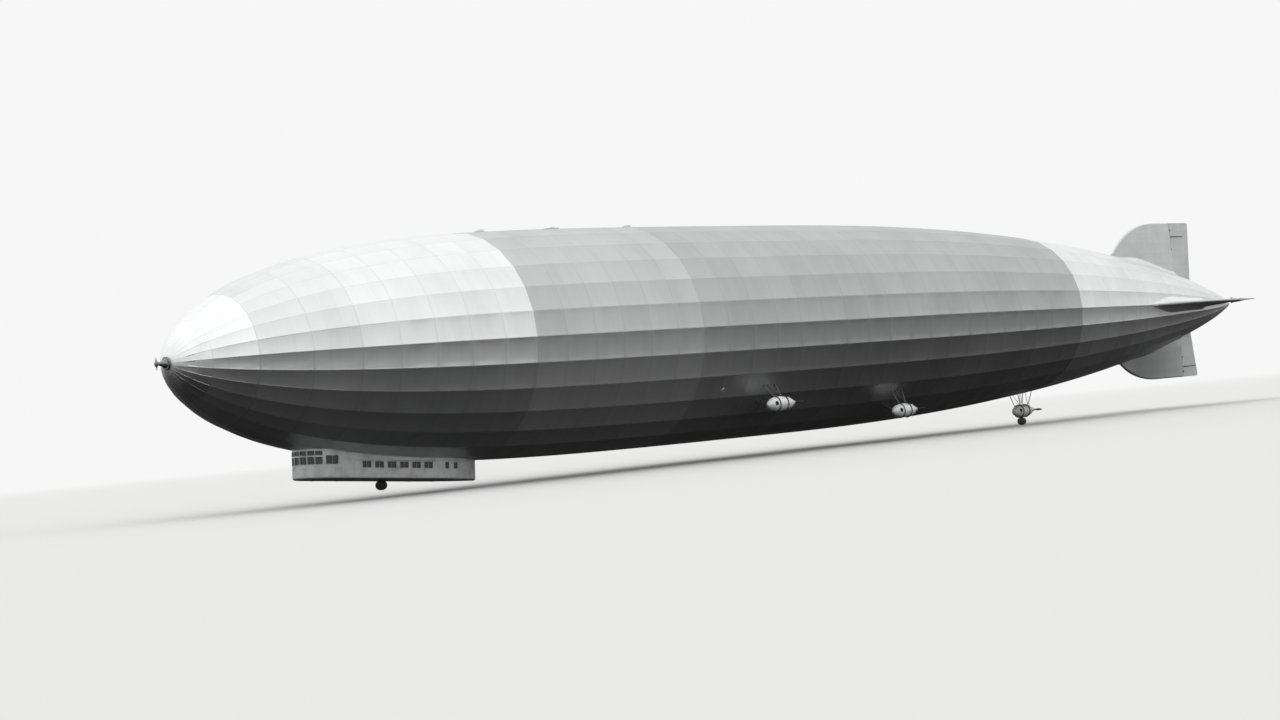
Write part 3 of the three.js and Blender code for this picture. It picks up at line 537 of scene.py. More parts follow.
def rivet_heads(form, places, radius):
    """Low domes at pairs of a point and the direction outwards."""
    dome = [(-0.0015, radius), (0.25 * radius, 0.92 * radius), (0.5 * radius, 0.45 * radius)]
    head = Form().turned(dome, 6)
    for at, outward in places:
        form.join(head, facing(outward, at))


def bolt_head(radius, thick, chamfer, rise=0.0007):
    """A hexagon head that stands on the X = 0 plane, its top drawn in by a chamfer over a rise."""
    return Form().turned([(0, radius), (thick, radius), (thick + rise, radius - chamfer)], 6)


# Scuffs, grime and small dents of sheet metal, painted or bare.
sheet_wear, n, given, result = effect(
    "sheet_wear", {"Position": (0, 0, 0), "Scale": 1.0}, ("Scuff", "Grime", "Height")
)
at, size = given["Position"], given["Scale"]
scratch = n.noise(n.scaled(at, (2.0, 9.0, 22.0)), n.times(size, 9.0), 4, 0.7)
cloud = n.noise(at, n.times(size, 2.2), 5, 0.6)
dents = n.noise(at, n.times(size, 5.0), 2, 0.5)
n.feed(result, "Scuff", n.mapped(scratch, 0.55, 0.75, smooth=True))
n.feed(result, "Grime", n.mapped(cloud, 0.42, 0.72, smooth=True))
n.feed(result, "Height", n.math("ADD", dents, n.times(scratch, 0.15)))


def sheet_finish(name, color, worn, dirty, rough, metallic, scale=1.0, dent=0.12, **constants):
    """Sheet metal: a base colour, scuffed towards a second and soiled towards a third."""
    material, n, shader = finish_of(name, Metallic=metallic, **constants)
    wear = n.place(sheet_wear, Position=n.point(), Scale=scale)
    scuffed = n.mix(n.times(wear["Scuff"], 0.5), color, worn)
    n.feed(shader, "Base Color", n.mix(n.times(wear["Grime"], 0.45), scuffed, dirty))
    n.feed(shader, "Roughness", n.mapped(wear["Grime"], 0, 1, rough, min(1.0, rough + 0.18)))
    n.bump(shader, wear["Height"], dent, 0.004)
    return material


bow_sheet = sheet_finish("bow_sheet", (0.97, 0.975, 0.98), (1.0, 1.0, 1.0), (0.74, 0.74, 0.73), 0.3, 0.97)
opening_aft = next(i * 1e-5 for i in range(30000) if hull_radius(i * 1e-5) > BOW_CAP_OPENING)
spread = [(i / BOW_CAP_RINGS) ** 1.8 for i in range(BOW_CAP_RINGS + 1)]
cap_aft = [between(opening_aft, BOW_CAP_END - SEAT, share) for share in spread]
rings = []
for aft in cap_aft:
    on_seam = abs(aft - BOW_CAP_SEAM[0]) < BOW_CAP_SEAM[1]
    lap = lambda share: BOW_CAP_LAP if on_seam or min(share, 1 - share) < TAPE_SHARES[1] else 0.0
    rings.append(facet_ring(aft, hull_radius(aft), lap))
for aft in reversed(cap_aft[2:]):
    rings.append(facet_ring(aft, max(hull_radius(aft) - HULL_WALL, BOW_CAP_OPENING)))
bow_cap = Form().loft(rings, wrap=True)
places = []
for aft in BOW_CAP_RIVET_ROWS:
    slope = (hull_radius(aft + 0.01) - hull_radius(aft)) / 0.01
    for corner in range(HULL_SIDES):
        for share in (0.06, 0.94):
            x, y, z = facet_point(aft, hull_radius(aft), corner, share)
            places.append(((x, y, z), Vector((slope * hypot(y, z), y, z)).normalized()))
rivet_heads(bow_cap, places, 0.0024)
piece("bow_cap", bow_cap, "ship", "bow_metal", bow_sheet, "nose_cap", sharp=20.0)

# Mooring spindle
# The steel cone at the very nose: turned, bolted on through its flange, and stiffened by four gussets. Its
# collar carries two lugs with rings.
SPINDLE_PROFILE = [
    # forward of the nose, radius
    (-0.07, 0.036), (-0.068, 0.04), (-0.012, 0.04), (-0.012, 0.076), (-0.01, 0.078), (0.009, 0.078),
    (0.012, 0.075), (0.013, 0.058), (0.017, 0.053), (0.024, 0.0485), (0.036, 0.0405), (0.05, 0.0345),
    (0.066, 0.0292), (0.084, 0.0248), (0.1, 0.0205), (0.112, 0.018), (0.116, 0.0185), (0.119, 0.024),
    (0.1225, 0.0305), (0.125, 0.032), (0.13, 0.032), (0.131, 0.0305), (0.135, 0.0305), (0.136, 0.032),
    (0.141, 0.032), (0.1435, 0.0295), (0.147, 0.021), (0.1495, 0.013), (0.15, 0.006),
]
FLANGE_FACE = 0.0115
FLANGE_BOLTS, FLANGE_BOLT_CIRCLE, FLANGE_BOLT_TURN = 12, 0.0665, 0.13
FLANGE_BOLT = (0.0062, 0.0045, 0.0008)  # radius, thickness, chamfer
GUSSET_OUTLINE = [
    # ahead, out from the axis
    (FLANGE_FACE, 0.03), (FLANGE_FACE, 0.058), (0.018, 0.0555), (0.052, 0.0375), (0.074, 0.0285),
    (0.074, 0.02),
]
GUSSET_HALF = 0.0028
LUG_AT = Vector((0.133, 0, 0.04))
LUG_HALF = 0.003
LUG_RADIUS, LUG_HOLE = 0.0095, 0.0042
RING_RADIUS, RING_THICK = 0.0165, 0.0026

spindle_steel = sheet_finish(
    "spindle_steel", (0.33, 0.335, 0.34), (0.62, 0.62, 0.62), (0.1, 0.095, 0.09), 0.38, 0.9,
    scale=9.0, dent=0.2,
)
spindle = Form().turned(SPINDLE_PROFILE, 48)
for y, z in circle(FLANGE_BOLT_CIRCLE, FLANGE_BOLTS, FLANGE_BOLT_TURN * FLANGE_BOLTS / tau):
    spindle.join(bolt_head(*FLANGE_BOLT), Matrix.Translation((FLANGE_FACE, y, z)))
for k in range(4):
    gusset = Form().across(GUSSET_OUTLINE, (-GUSSET_HALF, GUSSET_HALF))
    spindle.join(gusset, Matrix.Rotation((k + 0.5) * tau / 4, 4, "X"))
lug = Form()
plate = [(LUG_RADIUS, -LUG_HALF), (LUG_RADIUS, LUG_HALF), (LUG_HOLE, LUG_HALF), (LUG_HOLE, -LUG_HALF)]
lug.loft([[LUG_AT + Vector((x, y, z)) for x, z in circle(r, 20)] for r, y in plate], wrap=True)
foot = [(0.1265, -LUG_HALF), (0.1395, -LUG_HALF), (0.1395, LUG_HALF), (0.1265, LUG_HALF)]
lug.standing(foot, (0.027, 0.0345))
hang = LUG_AT + Vector((0.0005, 0, RING_RADIUS - 0.0015))
lug.tube([hang + Vector((0, y, -z)) for z, y in circle(RING_RADIUS, 20)], RING_THICK, 8, wrap=True)
for turn in (pi, 0.0):
    spindle.join(lug, Matrix.Rotation(turn, 4, "X"))
at_nose = Matrix.Translation((NOSE_X, 0, 0))
piece("spindle", spindle, "ship", "fitting_metal", spindle_steel, "mooring_spindle", sharp=28.0, at=at_nose)

# Tail cone
# The cover runs on aft of the rudders to a spun metal tip, which is screwed over the last frame.
TAIL_CONE_COVER = (22.4, 23.5)
TAIL_TIP_LIP = 0.0022
TAIL_TIP_PROFILE = [
    # aft of the nose, how far it stands proud of the hull's line
    (23.47, -0.004), (23.472, TAIL_TIP_LIP), (23.5, TAIL_TIP_LIP), (23.504, 0.001), (23.54, 0.001),
    (23.58, 0.001), (23.612, 0.001), (23.636, 0.001), (23.65, 0.001), (23.6565, 0.001), (23.659, 0.0),
]
TAIL_SCREWS_AFT = 23.486

tail_cover = cover_section("cover_tail_cone", *TAIL_CONE_COVER)
piece("cover_tail_cone", tail_cover, "ship", "hull_fabric", cover_cloth, "tail_cone", sharp=6.0)
tip_profile = [(NOSE_X - aft, max(0.002, hull_radius(aft) + proud)) for aft, proud in TAIL_TIP_PROFILE]
tail_tip = Form().turned(tip_profile, 56)
screws = circle(hull_radius(TAIL_SCREWS_AFT) + TAIL_TIP_LIP, HULL_SIDES, 0.5)
places = [((NOSE_X - TAIL_SCREWS_AFT, y, z), Vector((0, y, z)).normalized()) for y, z in screws]
rivet_heads(tail_tip, places, 0.0022)
piece("tail_tip", tail_tip, "ship", "fitting_metal", bow_sheet)

# Ridge fittings
# Along the top run low gas-vent hoods of painted sheet, each open at its rear, and a hatch with a handle.
# A round inspection hatch is let into the port side.
VENT_HOODS = [
    # aft of the nose, half width, height, length
    (5.0, 0.05, 0.03, 0.13),
    (7.75, 0.045, 0.028, 0.12),
]
HOOD_FOOT = 0.016  # how far the hood's sides reach down below the ridge
HOOD_SHEET = 0.004
HOOD_FLANGE = [
    # share of the flange's outline, up
    (1.0, 0.003), (0.97, 0.0055), (0.75, 0.0055), (0.75, -0.012), (1.0, -0.012),
]
HOOD_SLAT = [(-0.001, -0.0015), (0.001, -0.0015), (0.001, 0.0015), (-0.001, 0.0015)]
TOP_HATCH = (6.3, 0.115, 0.08)  # aft, half length, half width
TOP_HATCH_LID = [
    # inset, up
    (0.0, -0.03), (0.0, 0.004), (0.002, 0.006), (0.01, 0.006), (0.012, 0.004), (0.014, 0.004),
    (0.017, 0.009),
]
SIDE_HATCH = (8.04, -34.4, 0.04)  # aft, degrees up from level, radius
SIDE_HATCH_LID = [
    # proud, share of the radius
    (-0.03, 1.0), (0.002, 1.0), (0.004, 0.96), (0.004, 0.86), (0.002, 0.83), (0.006, 0.8), (0.008, 0.5),
    (0.0085, 0.05),
]

fitting_paint = sheet_finish(
    "fitting_paint", (0.62, 0.625, 0.63), (0.78, 0.78, 0.78), (0.34, 0.34, 0.33), 0.45, 0.55, scale=4.0
)


def on_top(aft, y, up):
    """A point above the round of the hull's top."""
    radius = hull_radius(aft)
    return NOSE_X - aft, y, sqrt(max(0.0, radius ** 2 - y * y)) + up


for number, (aft, half, height, length) in enumerate(VENT_HOODS, 1):
    hood = Form()
    outer, inner = [], []
    for rings, inset in ((outer, 0.0), (inner, HOOD_SHEET)):
        for i in range(13):
            grown = sin(pi / 2 * min(1.0, i / 12 * 1.35)) ** 0.75
            at = aft - length / 2 + i / 12 * length
            wide = max(0.004, half * between(0.35, 1.0, grown) - inset)
            tall = max(0.012, HOOD_FOOT + height * grown - inset)
            x, foot = NOSE_X - at - (inset if i == 0 else 0), hull_radius(at) - HOOD_FOOT
            arc = [pi * k / 16 for k in range(17)]
            rings.append([(x, wide * cos(t), foot + tall * sin(t) ** 0.8) for t in arc])
    hood.loft([a + b[::-1] for a, b in zip(outer, inner)])
    hood.tube(outer[-1], 0.0035, 6)
    for k in range(5):
        at = aft + length / 2 - 0.012 - 0.006 * (k % 2)
        x, y, ridge = NOSE_X - at, half * (k - 2) * 0.36, hull_radius(at)
        top = ridge + height * sqrt(max(0.05, 1 - (y / half) ** 2)) - 0.003
        hood.standing(HOOD_SLAT, (ridge - 0.02, top), (x, y))
    flange = circle(1.04 * length / 2, 40, tall=1.16 * half)
    rings = [[on_top(aft - x * grow, y * grow, up) for x, y in flange] for grow, up in HOOD_FLANGE]
    hood.loft(rings, wrap=True)
    piece(f"vent_hood_{number}", hood, "ship", "fitting_metal", fitting_paint)

aft, long_half, wide_half = TOP_HATCH
hatch = Form()
rings = []
for inset, up in TOP_HATCH_LID:
    squared = [[copysign(abs(s) ** 0.35, s) for s in pair] for pair in circle(1.0, 48)]
    outline = [((long_half - inset) * x, (wide_half - inset) * y) for x, y in squared]
    ring = []
    for x, y in outline:
        drop = HULL_RADIUS - sqrt(HULL_RADIUS ** 2 - y * y)
        ring.append((NOSE_X - aft + x, y, hull_radius(aft - x) - drop + up))
    rings.append(ring)
hatch.loft(rings)
ridge = hull_radius(aft)
for middle in (-0.05, 0.05):
    ends = [(NOSE_X - aft + middle + end, -wide_half - 0.004, ridge + 0.002) for end in (-0.016, 0.016)]
    hatch.tube(ends, 0.0045, 8)
handle = [(-0.03, 0.006), (-0.028, 0.017), (0.028, 0.017), (0.03, 0.006)]
hatch.tube([(NOSE_X - aft + x, 0.05, ridge + up) for x, up in handle], 0.003, 6)
piece("top_hatch", hatch, "ship", "fitting_metal", fitting_paint)

aft, turn, radius = SIDE_HATCH
side_hatch = Form().turned([(x, r * radius) for x, r in SIDE_HATCH_LID], 40)
for y, z in circle(0.91 * radius, 8, 0.5):
    side_hatch.join(bolt_head(0.0022, 0.0018, 0.0006, 0.0004), Matrix.Translation((0.0035, y, z)))
outward = Vector((0, cos(radians(turn)), sin(radians(turn))))
reach = hull_radius(aft) * cos(pi / HULL_SIDES) - 0.002
at = facing(outward, Vector((NOSE_X - aft, 0, 0)) + outward * reach)
piece("side_hatch", side_hatch, "ship", "fitting_metal", fitting_paint, at=at)

# Tail fins
# Four tapering frames of ribs and spars under doped cloth, set square to each other. The cloth sinks a
# little between the ribs, and the rear edge ends in a flat spar that carries the hinges.
FINS = [
    # name, surface, roll, leading edge foot aft, shoulder aft, foot span, tip span, trailing aft
    ("fin_top", "rudder_top", 0, 19.9, 21.3, 1.0, 1.51, 22.44),
    ("fin_port", "elevator_port", -90, 19.5, 20.9, 0.9, 1.3, 22.33),
    ("fin_bottom", "rudder_bottom", 180, 19.79, 20.9, 0.955, 1.265, 22.29),
    ("fin_starboard", "elevator_starboard", 90, 19.5, 20.9, 0.9, 1.3, 22.33),
]
HINGE_AFT = 21.79
FIN_REAR = HINGE_AFT - 0.035
FIN_LEAD_IN = 0.2
FIN_CURVE = ((0.2, 0.6), (0.55, 1.0))  # what pulls the leading edge, as shares of its run and its rise
FIN_INNER_SPAN = 0.42
FIN_ROOT_HALF = 0.075
FIN_REAR_HALF = 0.056
FIN_TIP_HALF = 0.02
FIN_EDGE_HALF = 0.008
FIN_BAY = 0.19
FIN_HOLLOW = 0.0022
FIN_SUNK = 0.035  # how far the root reaches into the hull
FIN_ROUNDING = (0.7, 0.4, 0.18, 0.04)  # shares of the rim's depth below the tip
FIN_BAYS_APART = 40  # between the counts of one fin and the next


def bezier(ends, count):
    """The curve that four points pull, as pairs, without its first point."""
    points = []
    for t in (i / count for i in range(1, count + 1)):
        weights = ((1 - t) ** 3, 3 * t * (1 - t) ** 2, 3 * t * t * (1 - t), t ** 3)
        points.append(tuple(sum(w * p[k] for w, p in zip(weights, ends)) for k in (0, 1)))
    return points


def leading_edge(foot, shoulder, foot_span, tip_span):
    """The leading edge from the hull to the shoulder, as pairs of aft and span."""
    start = foot - FIN_LEAD_IN
    pulls = [(between(foot, shoulder, a), between(foot_span, tip_span, u)) for a, u in FIN_CURVE]
    curve = bezier([(foot, foot_span), *pulls, (shoulder, tip_span)], 24)
    return [(start, min(hull_radius(start), foot_span)), (foot, foot_span), *curve]


def fin_half(aft, span, foot, shoulder, tip_span):
    """Half the fin's thickness: thin along its leading edge and towards the tip."""
    taper = between(FIN_ROOT_HALF, FIN_TIP_HALF, (span - FIN_INNER_SPAN) / (tip_span - FIN_INNER_SPAN))
    if aft < shoulder:
        start = foot - FIN_LEAD_IN
        sharpened = between(FIN_EDGE_HALF, FIN_ROOT_HALF, (aft - start) / (shoulder - start))
    else:
        sharpened = between(FIN_ROOT_HALF, FIN_REAR_HALF, (aft - shoulder) / (FIN_REAR - shoulder))
    return min(taper, sharpened)


def sunk(share, bay_share):
    """How far cloth sinks between its ribs, from 0 to 1."""
    return sin(pi * share) ** 2 * sin(pi * bay_share) ** 2


def cloth_mesh(name, sides, counts):
    """A body of cloth from its port sides and their mirror image, with bay counts as "cover" coordinates."""
    form = Form().loft([side + [(x, -y, z) for x, y, z in reversed(side)] for side in sides])
    mesh = mesh_of(name, form.points, form.faces)
    marks = [count for row in counts for count in row + row[::-1]]
    layer = mesh.uv_layers.new(name="cover")
    for loop in mesh.loops:
        layer.data[loop.index].uv = marks[loop.vertex_index]
    return outwards(mesh)


def fin_cloth(name, foot, shoulder, foot_span, tip_span, start_count):
    edge_afts, edge_spans = zip(*leading_edge(foot, shoulder, foot_span, tip_span))
    columns = [(foot - FIN_LEAD_IN, 0.0, 0.0), (foot - FIN_LEAD_IN / 2, 0.0, 0.0)]
    columns += bay_rows(foot, FIN_REAR, FIN_BAY)
    sides, counts = [], []
    for aft, bay_share, bay_count in columns:
        top = float(np.interp(aft, edge_afts, edge_spans)) if aft < shoulder else tip_span
        low = min(hull_radius(aft) - FIN_SUNK, top - 0.01)
        rim = min(fin_half(aft, top, foot, shoulder, tip_span), 0.9 * (top - low))
        side, marks = [], []
        for row, row_share, row_count in bay_rows(foot_span - 3 * FIN_BAY, tip_span, FIN_BAY):
            span = min(max(row, low), top - rim)
            half = fin_half(aft, span, foot, shoulder, tip_span)
            side.append((NOSE_X - aft, half - FIN_HOLLOW * sunk(row_share, bay_share), span))
            marks.append((start_count + bay_count, row_count))
        half = fin_half(aft, top - rim, foot, shoulder, tip_span)
        for share in FIN_ROUNDING:
            side.append((NOSE_X - aft, half * sqrt(1 - (1 - share) ** 2), top - share * rim))
            marks.append(marks[-1])
        sides.append(side)
        counts.append(marks)
    return cloth_mesh(name, sides, counts)


# Doped cloth over ribs: even, pale and a little glossy, with taped ribs and grime in blotches. Low down and
# towards the front the cloth is painted darker: painted shade, where the lower fin's forward cloth lies in
# shadow.
# Painted shade: the heights where it starts and is full, the places aft of the nose where it starts and is
# full, and how dark it gets.
SHADE_LOW = (-0.3, -0.95)
SHADE_AFT = (22.3, 20.3)
SHADE_SHARE = 0.85


def tail_finish(name, plain, fresh, metallic, rough):
    material, n, shader = finish_of(name, Metallic=metallic)
    where = n.point()
    panels = n.place(panel_group, Cover=n.marks("cover"), Position=where)
    grime = n.place(grime_group, Position=where, Scale=1.6)
    at = n.axes(where)
    # Painted shade, darker low down and towards the front of the tail.
    low = n.mapped(at["Z"], *SHADE_LOW, smooth=True)
    ahead = n.mapped(n.math("SUBTRACT", NOSE_X, at["X"]), *SHADE_AFT, smooth=True)
    painted_shade = n.times(n.times(low, ahead), SHADE_SHARE)
    seam, blotch = n.times(panels["Seam"], 0.22), n.times(grime["Blotch"], 0.18)
    base = n.mix(n.mapped(panels["Tone"], 0, 1, 0.3, 0.7), plain, fresh)
    for share, dark in ((painted_shade, 0.35), (seam, 0.62), (blotch, 0.72)):
        base = n.mix(share, base, tuple(dark * c for c in plain))
    n.feed(shader, "Base Color", base)
    n.feed(shader, "Roughness", n.mapped(grime["Blotch"], 0, 1, rough, rough + 0.1))
    n.bump(shader, panels["Height"], *CLOTH_BUMP)
    return material


def rolled(roll, aft=NOSE_X):
    """The placement of a fin's parts that are drawn upright, from their roll and where they start."""
    return Matrix.Rotation(radians(roll), 4, "X") @ Matrix.Translation((NOSE_X - aft, 0, 0))


tail_cloth = tail_finish("tail_cloth", (0.7, 0.705, 0.71), (0.8, 0.805, 0.81), 0.55, 0.42)
for number, (name, _, roll, *outline, _) in enumerate(FINS):
    cloth = fin_cloth(name + "_cloth", *outline, FIN_BAYS_APART * number)
    piece(name + "_cloth", cloth, "ship", "tail_fabric", tail_cloth, name, sharp=35.0, at=rolled(roll))

# Fin roots
# Each fin spreads over the hull in a smooth fairing, stretched over light formers and doped bright. It
# starts as a point ahead of the leading edge and ends square at the hinges.
FAIRING_START, FAIRING_WIDEST = -0.25, 0.7  # aft of the leading edge's foot
FAIRING_SECTIONS = [
    # base below the hull's line, base half width, top above the line, top half width
    (0.03, 0.006, -0.02, 0.004),
    (0.12, 0.23, 0.13, 0.045),
    (0.15, 0.19, 0.1, 0.042),
]
FAIRING_BAY = 0.24
FAIRING_ROWS = 14
FAIRING_HOLLOW = 0.0008
FAIRING_LOW = {"fin_bottom": 0.45}  # the lower fin's fairing spreads less far down the fin

root_cloth = tail_finish("root_cloth", (0.86, 0.865, 0.87), (0.93, 0.935, 0.94), 0.35, 0.4)
for number, (name, _, roll, foot, *_) in enumerate(FINS):
    places = [foot + FAIRING_START, foot + FAIRING_WIDEST, FIN_REAR]
    sides, counts = [], []
    for aft, share, count in bay_rows(places[0], FIN_REAR - 0.001, FAIRING_BAY):
        # A section is the mean of five round it, so that the fairing's edges are fair curves.
        near = [min(max(aft + k * FAIRING_BAY / 2, places[0]), places[2]) for k in range(-2, 3)]
        below, wide, above, narrow = (
            np.interp(near, places, column).mean() for column in zip(*FAIRING_SECTIONS)
        )
        above *= FAIRING_LOW.get(name, 1.0)
        narrow = min(narrow, wide)
        line = np.interp(aft, places, [hull_radius(place) for place in places])
        side, marks = [], []
        for up in (i / FAIRING_ROWS for i in range(FAIRING_ROWS + 1)):
            y = between(narrow, wide, (1 - up) ** 1.1) - FAIRING_HOLLOW * sin(pi * share) ** 2
            side.append((NOSE_X - aft, y, between(line - below, line + above, up)))
            marks.append((FIN_BAYS_APART * number + count, 3 * up))
        side.append((NOSE_X - aft, 0.5 * narrow, side[-1][2] + 0.1 * narrow))
        sides.append(side)
        counts.append([*marks, marks[-1]])
    root = cloth_mesh(name + "_root", sides, counts)
    piece(name + "_root", root, "ship", "tail_fabric", root_cloth, sharp=40.0, at=rolled(roll))

# Tail hinges
# Forged eyes on the fins' rear spars, three to a fin, each on a tapered arm that is bolted through the
# spar. The pin of the rudder or elevator turns in them.
SURFACE_CLEARANCE = 0.015
HINGE_SPOTS = (0.14, 0.5, 0.86)
HINGE_EYE = 0.015
HINGE_BORE = 0.0067
HINGE_HALF = 0.005
HINGE_ARM = [
    # ahead, half width, half thickness
    (0.0125, 0.0075, 0.004), (0.02, 0.011, 0.005), (0.033, 0.011, 0.005), (0.0345, 0.02, 0.013),
    (0.0375, 0.02, 0.013),
]
HINGE_BOLT = (0.0034, 0.0022, 0.001, 0.0006)


def surface_root(behind_hinge):
    return hull_radius(HINGE_AFT + behind_hinge) + SURFACE_CLEARANCE


def hinge_heights(tip_span):
    return [between(surface_root(0), tip_span, spot) for spot in HINGE_SPOTS]


hinge_steel = sheet_finish(
    "hinge_steel", (0.26, 0.265, 0.27), (0.55, 0.55, 0.55), (0.09, 0.085, 0.08), 0.42, 0.85,
    scale=8.0, dent=0.2,
)
inner, outer, half = HINGE_BORE, HINGE_EYE, HINGE_HALF
eye_outline = [
    (inner, -half), (inner, half), (inner + 0.002, half + 0.0008), (outer - 0.002, half),
    (outer, half - 0.002), (outer, 0.002 - half), (outer - 0.002, -half),
    (inner + 0.002, -half - 0.0008),
]
hinge = Form().upright(eye_outline, 28, wrap=True)
hinge.loft([[(x, -w, -h), (x, w, -h), (x, w, h), (x, -w, h)] for x, w, h in HINGE_ARM])
for y in (-0.0145, 0.0145):
    hinge.join(bolt_head(*HINGE_BOLT), facing((-1, 0, 0), (0.035, y, 0)))
for name, _, roll, _, _, _, tip_span, _ in FINS:
    hinges = Form()
    for height in hinge_heights(tip_span):
        hinges.join(hinge, Matrix.Translation((0, 0, height)))
    piece(name + "_hinges", hinges, "ship", "fitting_metal", hinge_steel, at=rolled(roll, HINGE_AFT))

# Rudders and elevators
# The hinged surfaces behind the fins: a round nose spar, ribs and doped cloth to a thin rear edge. Notches
# in the nose leave room for the hinge eyes, and a steel pin runs through them from root to tip.
SURFACE_NOSE = 0.025
SURFACE_EDGE = 0.005
SURFACE_SWEEP = 0.11
SURFACE_CORNER = 0.03
SURFACE_BAY = 0.115
SURFACE_HOLLOW = 0.0013
NOTCH_HALF = 0.011
NOTCH_FRONT = -0.024
HINGE_PIN = 0.006


def surface_levels(tip_span, chord):
    """Heights from root to tip, each with the front limit there, its share of a bay and its count."""
    root, low = surface_root(0), surface_root(chord - SURFACE_SWEEP)
    heights, levels = hinge_heights(tip_span), []
    for share in (i / 6 for i in range(7)):
        front = between(SURFACE_SWEEP - chord, 2 * SURFACE_NOSE, share)
        levels.append((between(low, root, share), front, 0.0, 0.0))
    for z, share, count in bay_rows(root, tip_span, SURFACE_BAY):
        if all(abs(z - height) > NOTCH_HALF + 0.001 for height in heights):
            levels.append((z, SURFACE_NOSE, share, count))
    for height in heights:
        count = (height - root) / SURFACE_BAY
        for way in (-1, 1):
            levels.append((height + way * (NOTCH_HALF + 1e-5), SURFACE_NOSE, 0.0, count))
            levels.append((height + way * NOTCH_HALF, NOTCH_FRONT, 0.0, count))
    levels.append((tip_span - 0.004, SURFACE_NOSE, 0.0, count))
    return sorted(set(levels))


def surface_cloth(name, tip_span, trailing, start_count):
    chord = trailing - HINGE_AFT
    low, corner = surface_root(chord - SURFACE_SWEEP), tip_span - SURFACE_CORNER
    sides, counts = [], []
    for z, front, share, count in surface_levels(tip_span, chord):
        rear = -chord + SURFACE_SWEEP * max(0.0, corner - z) / (corner - low) + max(0.0, z - corner)
        squeeze = 0.72 if z > tip_span - 1e-6 else 1.0
        side, marks = [], []
        for s, bay_share, bay_count in reversed(bay_rows(0.0, 1.0, 0.2)):
            x = min(rear * s, front)
            half = between(SURFACE_NOSE, SURFACE_EDGE, min(1.0, max(0.0, -x) / chord))
            half -= SURFACE_HOLLOW * sunk(share, bay_share)
            if s == 1.0:
                side.append((x, 0.35 * half, z))
                marks.append((start_count + bay_count, count))
                x = min(x + 0.004, front)
            side.append((x, half * squeeze, z))
            marks.append((start_count + bay_count, count))
        for turn in (radians(75 - 15 * k) for k in range(6)):
            x, y = min(SURFACE_NOSE * cos(turn), front), max(1e-5, SURFACE_NOSE * sin(turn))
            side.append((x, y * squeeze, z))
            marks.append((start_count, count))
        sides.append(side)
        counts.append(marks)
    return cloth_mesh(name, sides, counts)


for number, (_, name, roll, _, _, _, tip_span, trailing) in enumerate(FINS):
    cloth = surface_cloth(name + "_cloth", tip_span, trailing, 200 + 20 * number)
    on_hinge = rolled(roll, HINGE_AFT)
    piece(name + "_cloth", cloth, name, "tail_fabric", tail_cloth, name, sharp=35.0, at=on_hinge)
    root = surface_root(0) + 0.004
    pin = Form().tube([(0, 0, root), (0, 0, tip_span - 0.003)], HINGE_PIN, 16)
    for z in (root, tip_span - 0.002):
        pin.tube([(0, 0, z - 0.001), (0, 0, z + 0.002)], HINGE_PIN + 0.0025, 6)
    piece(name + "_pin", pin, name, "fitting_metal", hinge_steel, at=on_hinge)

# Control horns
# A plate through each rudder and elevator near its hinge, standing out on both sides, with a shackle at
# each end. Its long foot is bolted along a rib.
HORN_SPOT = 0.74  # along the span
HORN_OUTLINE = [
    # ahead of the hinge, out to the side
    (-0.006, 0.0), (-0.006, 0.03), (-0.012, 0.046), (-0.02, 0.05), (-0.03, 0.048), (-0.09, 0.038),
    (-0.3, 0.027), (-0.44, 0.016), (-0.44, 0.0),
]
HORN_HALF = 0.006
SHACKLE_AT = (-0.021, 0.043)

horn_paint = sheet_finish(
    "horn_paint", (0.055, 0.056, 0.058), (0.3, 0.3, 0.3), (0.03, 0.03, 0.028), 0.5, 0.3, scale=8.0
)
outline = HORN_OUTLINE + [(x, -y) for x, y in reversed(HORN_OUTLINE[1:-1])]
for _, name, roll, _, _, _, tip_span, _ in FINS:
    z = between(surface_root(0), tip_span, HORN_SPOT)
    horn = Form().standing(outline, (z - HORN_HALF, z + HORN_HALF))
    ahead, out = SHACKLE_AT
    for side in (-1, 1):
        shackle = [(ahead + x, side * out, z + up) for x, up in circle(0.007, 14, tall=0.01)]
        horn.tube(shackle, 0.0018, 6, wrap=True)
    piece(name + "_horn", horn, name, "fitting_metal", horn_paint, at=rolled(roll, HINGE_AFT))

# Engine cars
# Five egg-shaped pods of riveted sheet, made alike: a roof hatch towards the hull's ladder, an oval window
# on each side, louvres past the engine, and an open tail for the propeller's shaft.
CARS = {
    # centre
    "car_fore_port": (1.835, 1.406, -1.1),
    "car_fore_starboard": (1.835, -1.406, -1.1),
    "car_middle_port": (-1.24, 1.144, -1.36),
    "car_middle_starboard": (-1.24, -1.144, -1.36),
    "car_aft": (-5.88, 0.0, -1.57),
}
CAR_LENGTH = 0.54
CAR_RADIUS = 0.102
CAR_WIDEST = 0.4
CAR_WALL = 0.004
CAR_TAIL_HOLE = 0.022
CAR_TIP_SHARES = (0.002, 0.006, 0.013)
CAR_SHEET_LAP = 0.0006
CAR_LAPS = (0.04, 0.26, 0.62, 0.86)  # shares of the length where one sheet laps the next
CAR_WINDOW = (0.11, 0.01, 0.054, 0.068)  # ahead, up, width, height
CAR_HATCH = (-0.025, 0.074, 0.056)  # ahead, length, width
CAR_HATCH_CORNER = 0.01
CAR_LOUVRES = (-0.036, -0.06, -0.084, -0.136, -0.16)
LOUVRE_SLOT = ((-0.0065, -0.012), (-0.012, -0.012), (-0.012, 0.012), (-0.0065, 0.012))  # ahead, proud
LOUVRE_SLAT = [
    # ahead, proud, swell in the middle
    (0.009, -0.0015, 0.0), (0.009, 0.0, 0.0), (0.002, 0.0, 0.0042), (-0.006, 0.0, 0.0085),
    (-0.007, 0.0, 0.007), (-0.007, -0.0015, 0.0),
]
LOUVRE_SLOT_TURN, LOUVRE_SLAT_TURN = 22, 26  # degrees each way from level
CAR_RIVET_LINES = (-90, -32, 32, 148, 212)  # degrees from port up to the top
CAR_LAP_RIVETS = 44
